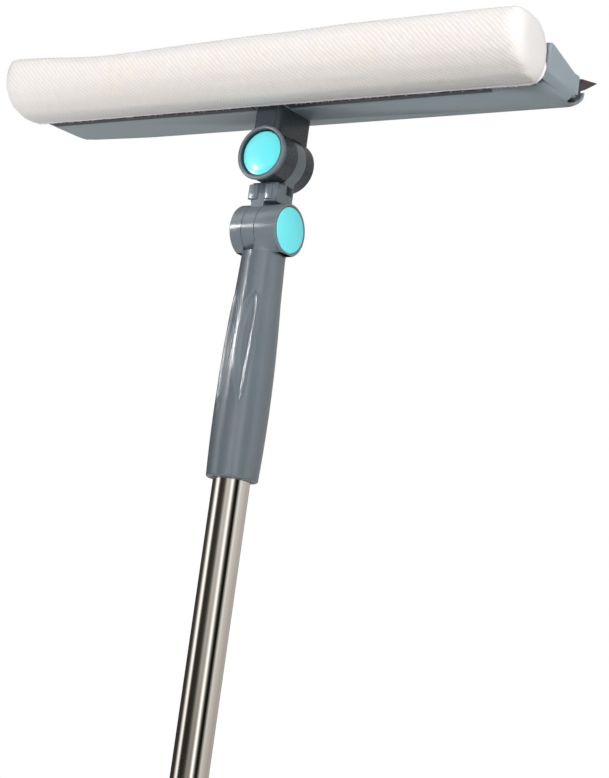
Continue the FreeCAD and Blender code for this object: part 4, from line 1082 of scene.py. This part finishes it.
def makeFloor():
    mesh = bpy.data.meshes.new("stageFloor")
    build = bmesh.new()
    bmesh.ops.create_grid(build, x_segments=1, y_segments=1, size=stageSet["floorSize"] / 2)
    bmesh.ops.translate(build, vec=(0, 0, cadBounds[0][2]), verts=build.verts)
    build.to_mesh(mesh)
    build.free()
    floor = bpy.data.objects.new("stageFloor", mesh)
    scene.collection.objects.link(floor)
    material, tree = newMaterial("Matt studio floor")
    shader = addNode(tree, "ShaderNodeBsdfPrincipled", {"Base Color": linearColour(stageSet["floorColour"]),
                                                        "Roughness": 0.9})
    glow = addNode(tree, "ShaderNodeEmission", {"Color": linearColour(stageSet["floorColour"]),
                                                "Strength": stageSet["floorGlow"]})
    rays = addNode(tree, "ShaderNodeLightPath")
    direct = addNode(tree, "ShaderNodeMath", {0: (rays, "Is Camera Ray"), 1: (rays, "Is Glossy Ray")},
                     operation="MAXIMUM")
    share = addNode(tree, "ShaderNodeMath", {0: (direct, "Value"), 1: stageSet["floorShare"]},
                    operation="MULTIPLY")
    seen = addNode(tree, "ShaderNodeMixShader", {"Fac": (share, "Value"), 1: (shader, "BSDF"),
                                                 2: (glow, "Emission")})
    addNode(tree, "ShaderNodeOutputMaterial", {"Surface": (seen, "Shader")})
    mesh.materials.append(material)
    return floor


# what polished steel mirrors of the studio: degrees round the pole from +X, then how bright the panel there
# is above and below the horizon
studioPanels = [
    (-180, 0.055, 0.041), (-172, 0.085, 0.039), (-165.5, 0.176, 0.038), (-158, 0.54, 0.21),
    (-152, 1.05, 0.55), (-145, 1.53, 1.24), (-136, 1.5, 1.38), (-130, 0.56, 0.47), (-124, 0.066, 0.045),
    (-110, 0.035, 0.026), (-92.5, 0.077, 0.038), (-84, 0.356, 0.126), (-75.6, 0.74, 0.295),
    (-67, 0.65, 0.3), (-59, 0.69, 0.25), (-52, 1.2, 0.6), (-45, 1.52, 1.56), (-40, 1.07, 1.65),
    (-34.5, 0.33, 0.74), (-26, 0.043, 0.075), (-17.5, 0.005, 0.007), (-9, 0.013, 0.006),
    (0, 0.52, 0.22), (8, 1.03, 0.76), (20, 0.76, 0.7), (30, 0.72, 0.63), (55, 0.56, 0.47),
    (94, 0.56, 0.52), (118, 0.16, 0.13), (127, 0.08, 0.065), (180, 0.055, 0.041),
]


def panelRamp(tree, share, row):
    # one colour ramp round the studio, from the panels' column row; the darker a panel, the warmer it is
    panels = addNode(tree, "ShaderNodeValToRGB", {"Fac": (share, "Result")})
    ramp = panels.color_ramp
    while len(ramp.elements) > 1:
        ramp.elements.remove(ramp.elements[-1])
    for number, panel in enumerate(studioPanels):
        spot, brightness = (panel[0] + 180) / 360, panel[row]
        element = ramp.elements[0] if number == 0 else ramp.elements.new(spot)
        element.position = spot
        depth = 1 - min(1.0, brightness)
        element.color = (brightness, brightness * (1 - 0.1 * depth), brightness * (1 - 0.22 * depth), 1)
    return panels


def makeWorld():
    world = bpy.data.worlds.new("Studio")
    world.use_nodes = True
    tree = world.node_tree
    tree.nodes.clear()
    place = addNode(tree, "ShaderNodeTexCoord")
    axes = addNode(tree, "ShaderNodeSeparateXYZ", {"Vector": (place, "Generated")})
    turn = addNode(tree, "ShaderNodeMath", {0: (axes, "Y"), 1: (axes, "X")}, operation="ARCTAN2")
    share = addNode(tree, "ShaderNodeMapRange", {"Value": (turn, "Value"), "From Min": -math.pi,
                                                 "From Max": math.pi})
    rise = addNode(tree, "ShaderNodeMapRange", {"Value": (axes, "Z"), "From Min": -0.03, "From Max": 0.09})
    panels = addNode(tree, "ShaderNodeMix", {"Factor": (rise, "Result"),
                                             "A": (panelRamp(tree, share, 2), "Color"),
                                             "B": (panelRamp(tree, share, 1), "Color")}, data_type="RGBA")
    rays = addNode(tree, "ShaderNodeLightPath")
    fill = addNode(tree, "ShaderNodeBackground", {"Color": (1, 1, 1, 1), "Strength": stageSet["skyStrength"]})
    mirror = addNode(tree, "ShaderNodeBackground", {"Color": (panels, "Result"), "Strength": 1.0})
    white = addNode(tree, "ShaderNodeBackground", {"Color": (1, 1, 1, 1), "Strength": 1.0})
    seen = addNode(tree, "ShaderNodeMixShader", {"Fac": (rays, "Is Glossy Ray"), 1: (fill, "Background"),
                                                 2: (mirror, "Background")})
    clear = addNode(tree, "ShaderNodeMath", {0: (rays, "Is Camera Ray"), 1: (rays, "Is Transmission Ray")},
                    operation="MAXIMUM")
    sky = addNode(tree, "ShaderNodeMixShader", {"Fac": (clear, "Value"), 1: (seen, "Shader"),
                                                2: (white, "Background")})
    addNode(tree, "ShaderNodeOutputWorld", {"Surface": (sky, "Shader")})
    scene.world = world


def addSoftbox(name, place, target, size, watts, mirrored=False):
    # a square area lamp; only a mirrored one shows in polished surfaces
    lamp = bpy.data.lights.new(name, "AREA")
    lamp.shape = "RECTANGLE"
    lamp.size = lamp.size_y = size
    lamp.energy = watts
    holder = bpy.data.objects.new(name, lamp)
    holder.location = place
    holder.rotation_euler = (Vector(target) - Vector(place)).to_track_quat("-Z", "Y").to_euler()
    holder.visible_glossy = mirrored
    scene.collection.objects.link(holder)
    return holder


cameraSet = {
    "place": (0.57632, -0.77161, 0.46489),
    "turn": 124.974,      # degrees of the view direction round Z from +X
    "climb": 9.610,       # degrees that the view rises
    "roll": 7.848,        # degrees that the camera leans to one side, so that the pole leans too
    "lens": 89.26,
}


def makeCamera():
    data = bpy.data.cameras.new("Camera")
    data.sensor_width = 36
    data.lens = cameraSet["lens"]
    data.clip_start = 0.01
    camera = bpy.data.objects.new("Camera", data)
    turn, climb = math.radians(cameraSet["turn"]), math.radians(cameraSet["climb"])
    view = Vector((math.cos(climb) * math.cos(turn), math.cos(climb) * math.sin(turn), math.sin(climb)))
    level = view.to_track_quat("-Z", "Y").to_matrix().to_4x4()
    camera.matrix_world = (Matrix.Translation(cameraSet["place"]) @ level
                           @ Matrix.Rotation(math.radians(cameraSet["roll"]), 4, "Z"))
    scene.collection.objects.link(camera)
    scene.camera = camera


floor = makeFloor()
makeWorld()
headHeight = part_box("head_base")[0].z
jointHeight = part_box("joint_link")[0].z / 2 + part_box("joint_link")[1].z / 2
aim, joint = (0, 0, headHeight - 0.05), (0, 0, jointHeight)
addSoftbox("keySoftbox", (0.2, -1.0, headHeight + 0.75), aim, 0.7, 5.0)
addSoftbox("frontSoftbox", (0.5, -1.5, headHeight + 0.1), aim, 0.8, 5.4)
addSoftbox("sideSoftbox", (1.6, -0.3, headHeight + 0.5), aim, 0.7, 21)
addSoftbox("rimSoftbox", (0.3, 1.4, headHeight + 0.9), aim, 0.8, 7)
lowSoftbox = addSoftbox("lowSoftbox", (0.3, -1.4, headHeight - 0.15), aim, 0.5, 7.6)
addSoftbox("nearSoftbox", (-0.4, 0.06, headHeight - 0.4), (-0.13, 0, headHeight), 0.2, 0.6)
addSoftbox("spotSoftbox", (-0.368, -0.427, jointHeight + 0.06), joint, 0.05, 0.5, True)
addSoftbox("bezelSoftbox", (-0.28, -0.03, jointHeight - 0.035), (0, 0, jointHeight + 0.02), 0.06, 0.04, True)
# the low lamp is kept off the floor, where it would leave a bright patch
keptOff = bpy.data.collections.new("keptOffLowSoftbox")
keptOff.objects.link(floor)
keptOff.collection_objects[0].light_linking.link_state = "EXCLUDE"
lowSoftbox.light_linking.receiver_collection = keptOff
makeCamera()
scene.view_settings.view_transform = "Standard"
print("stage ready")
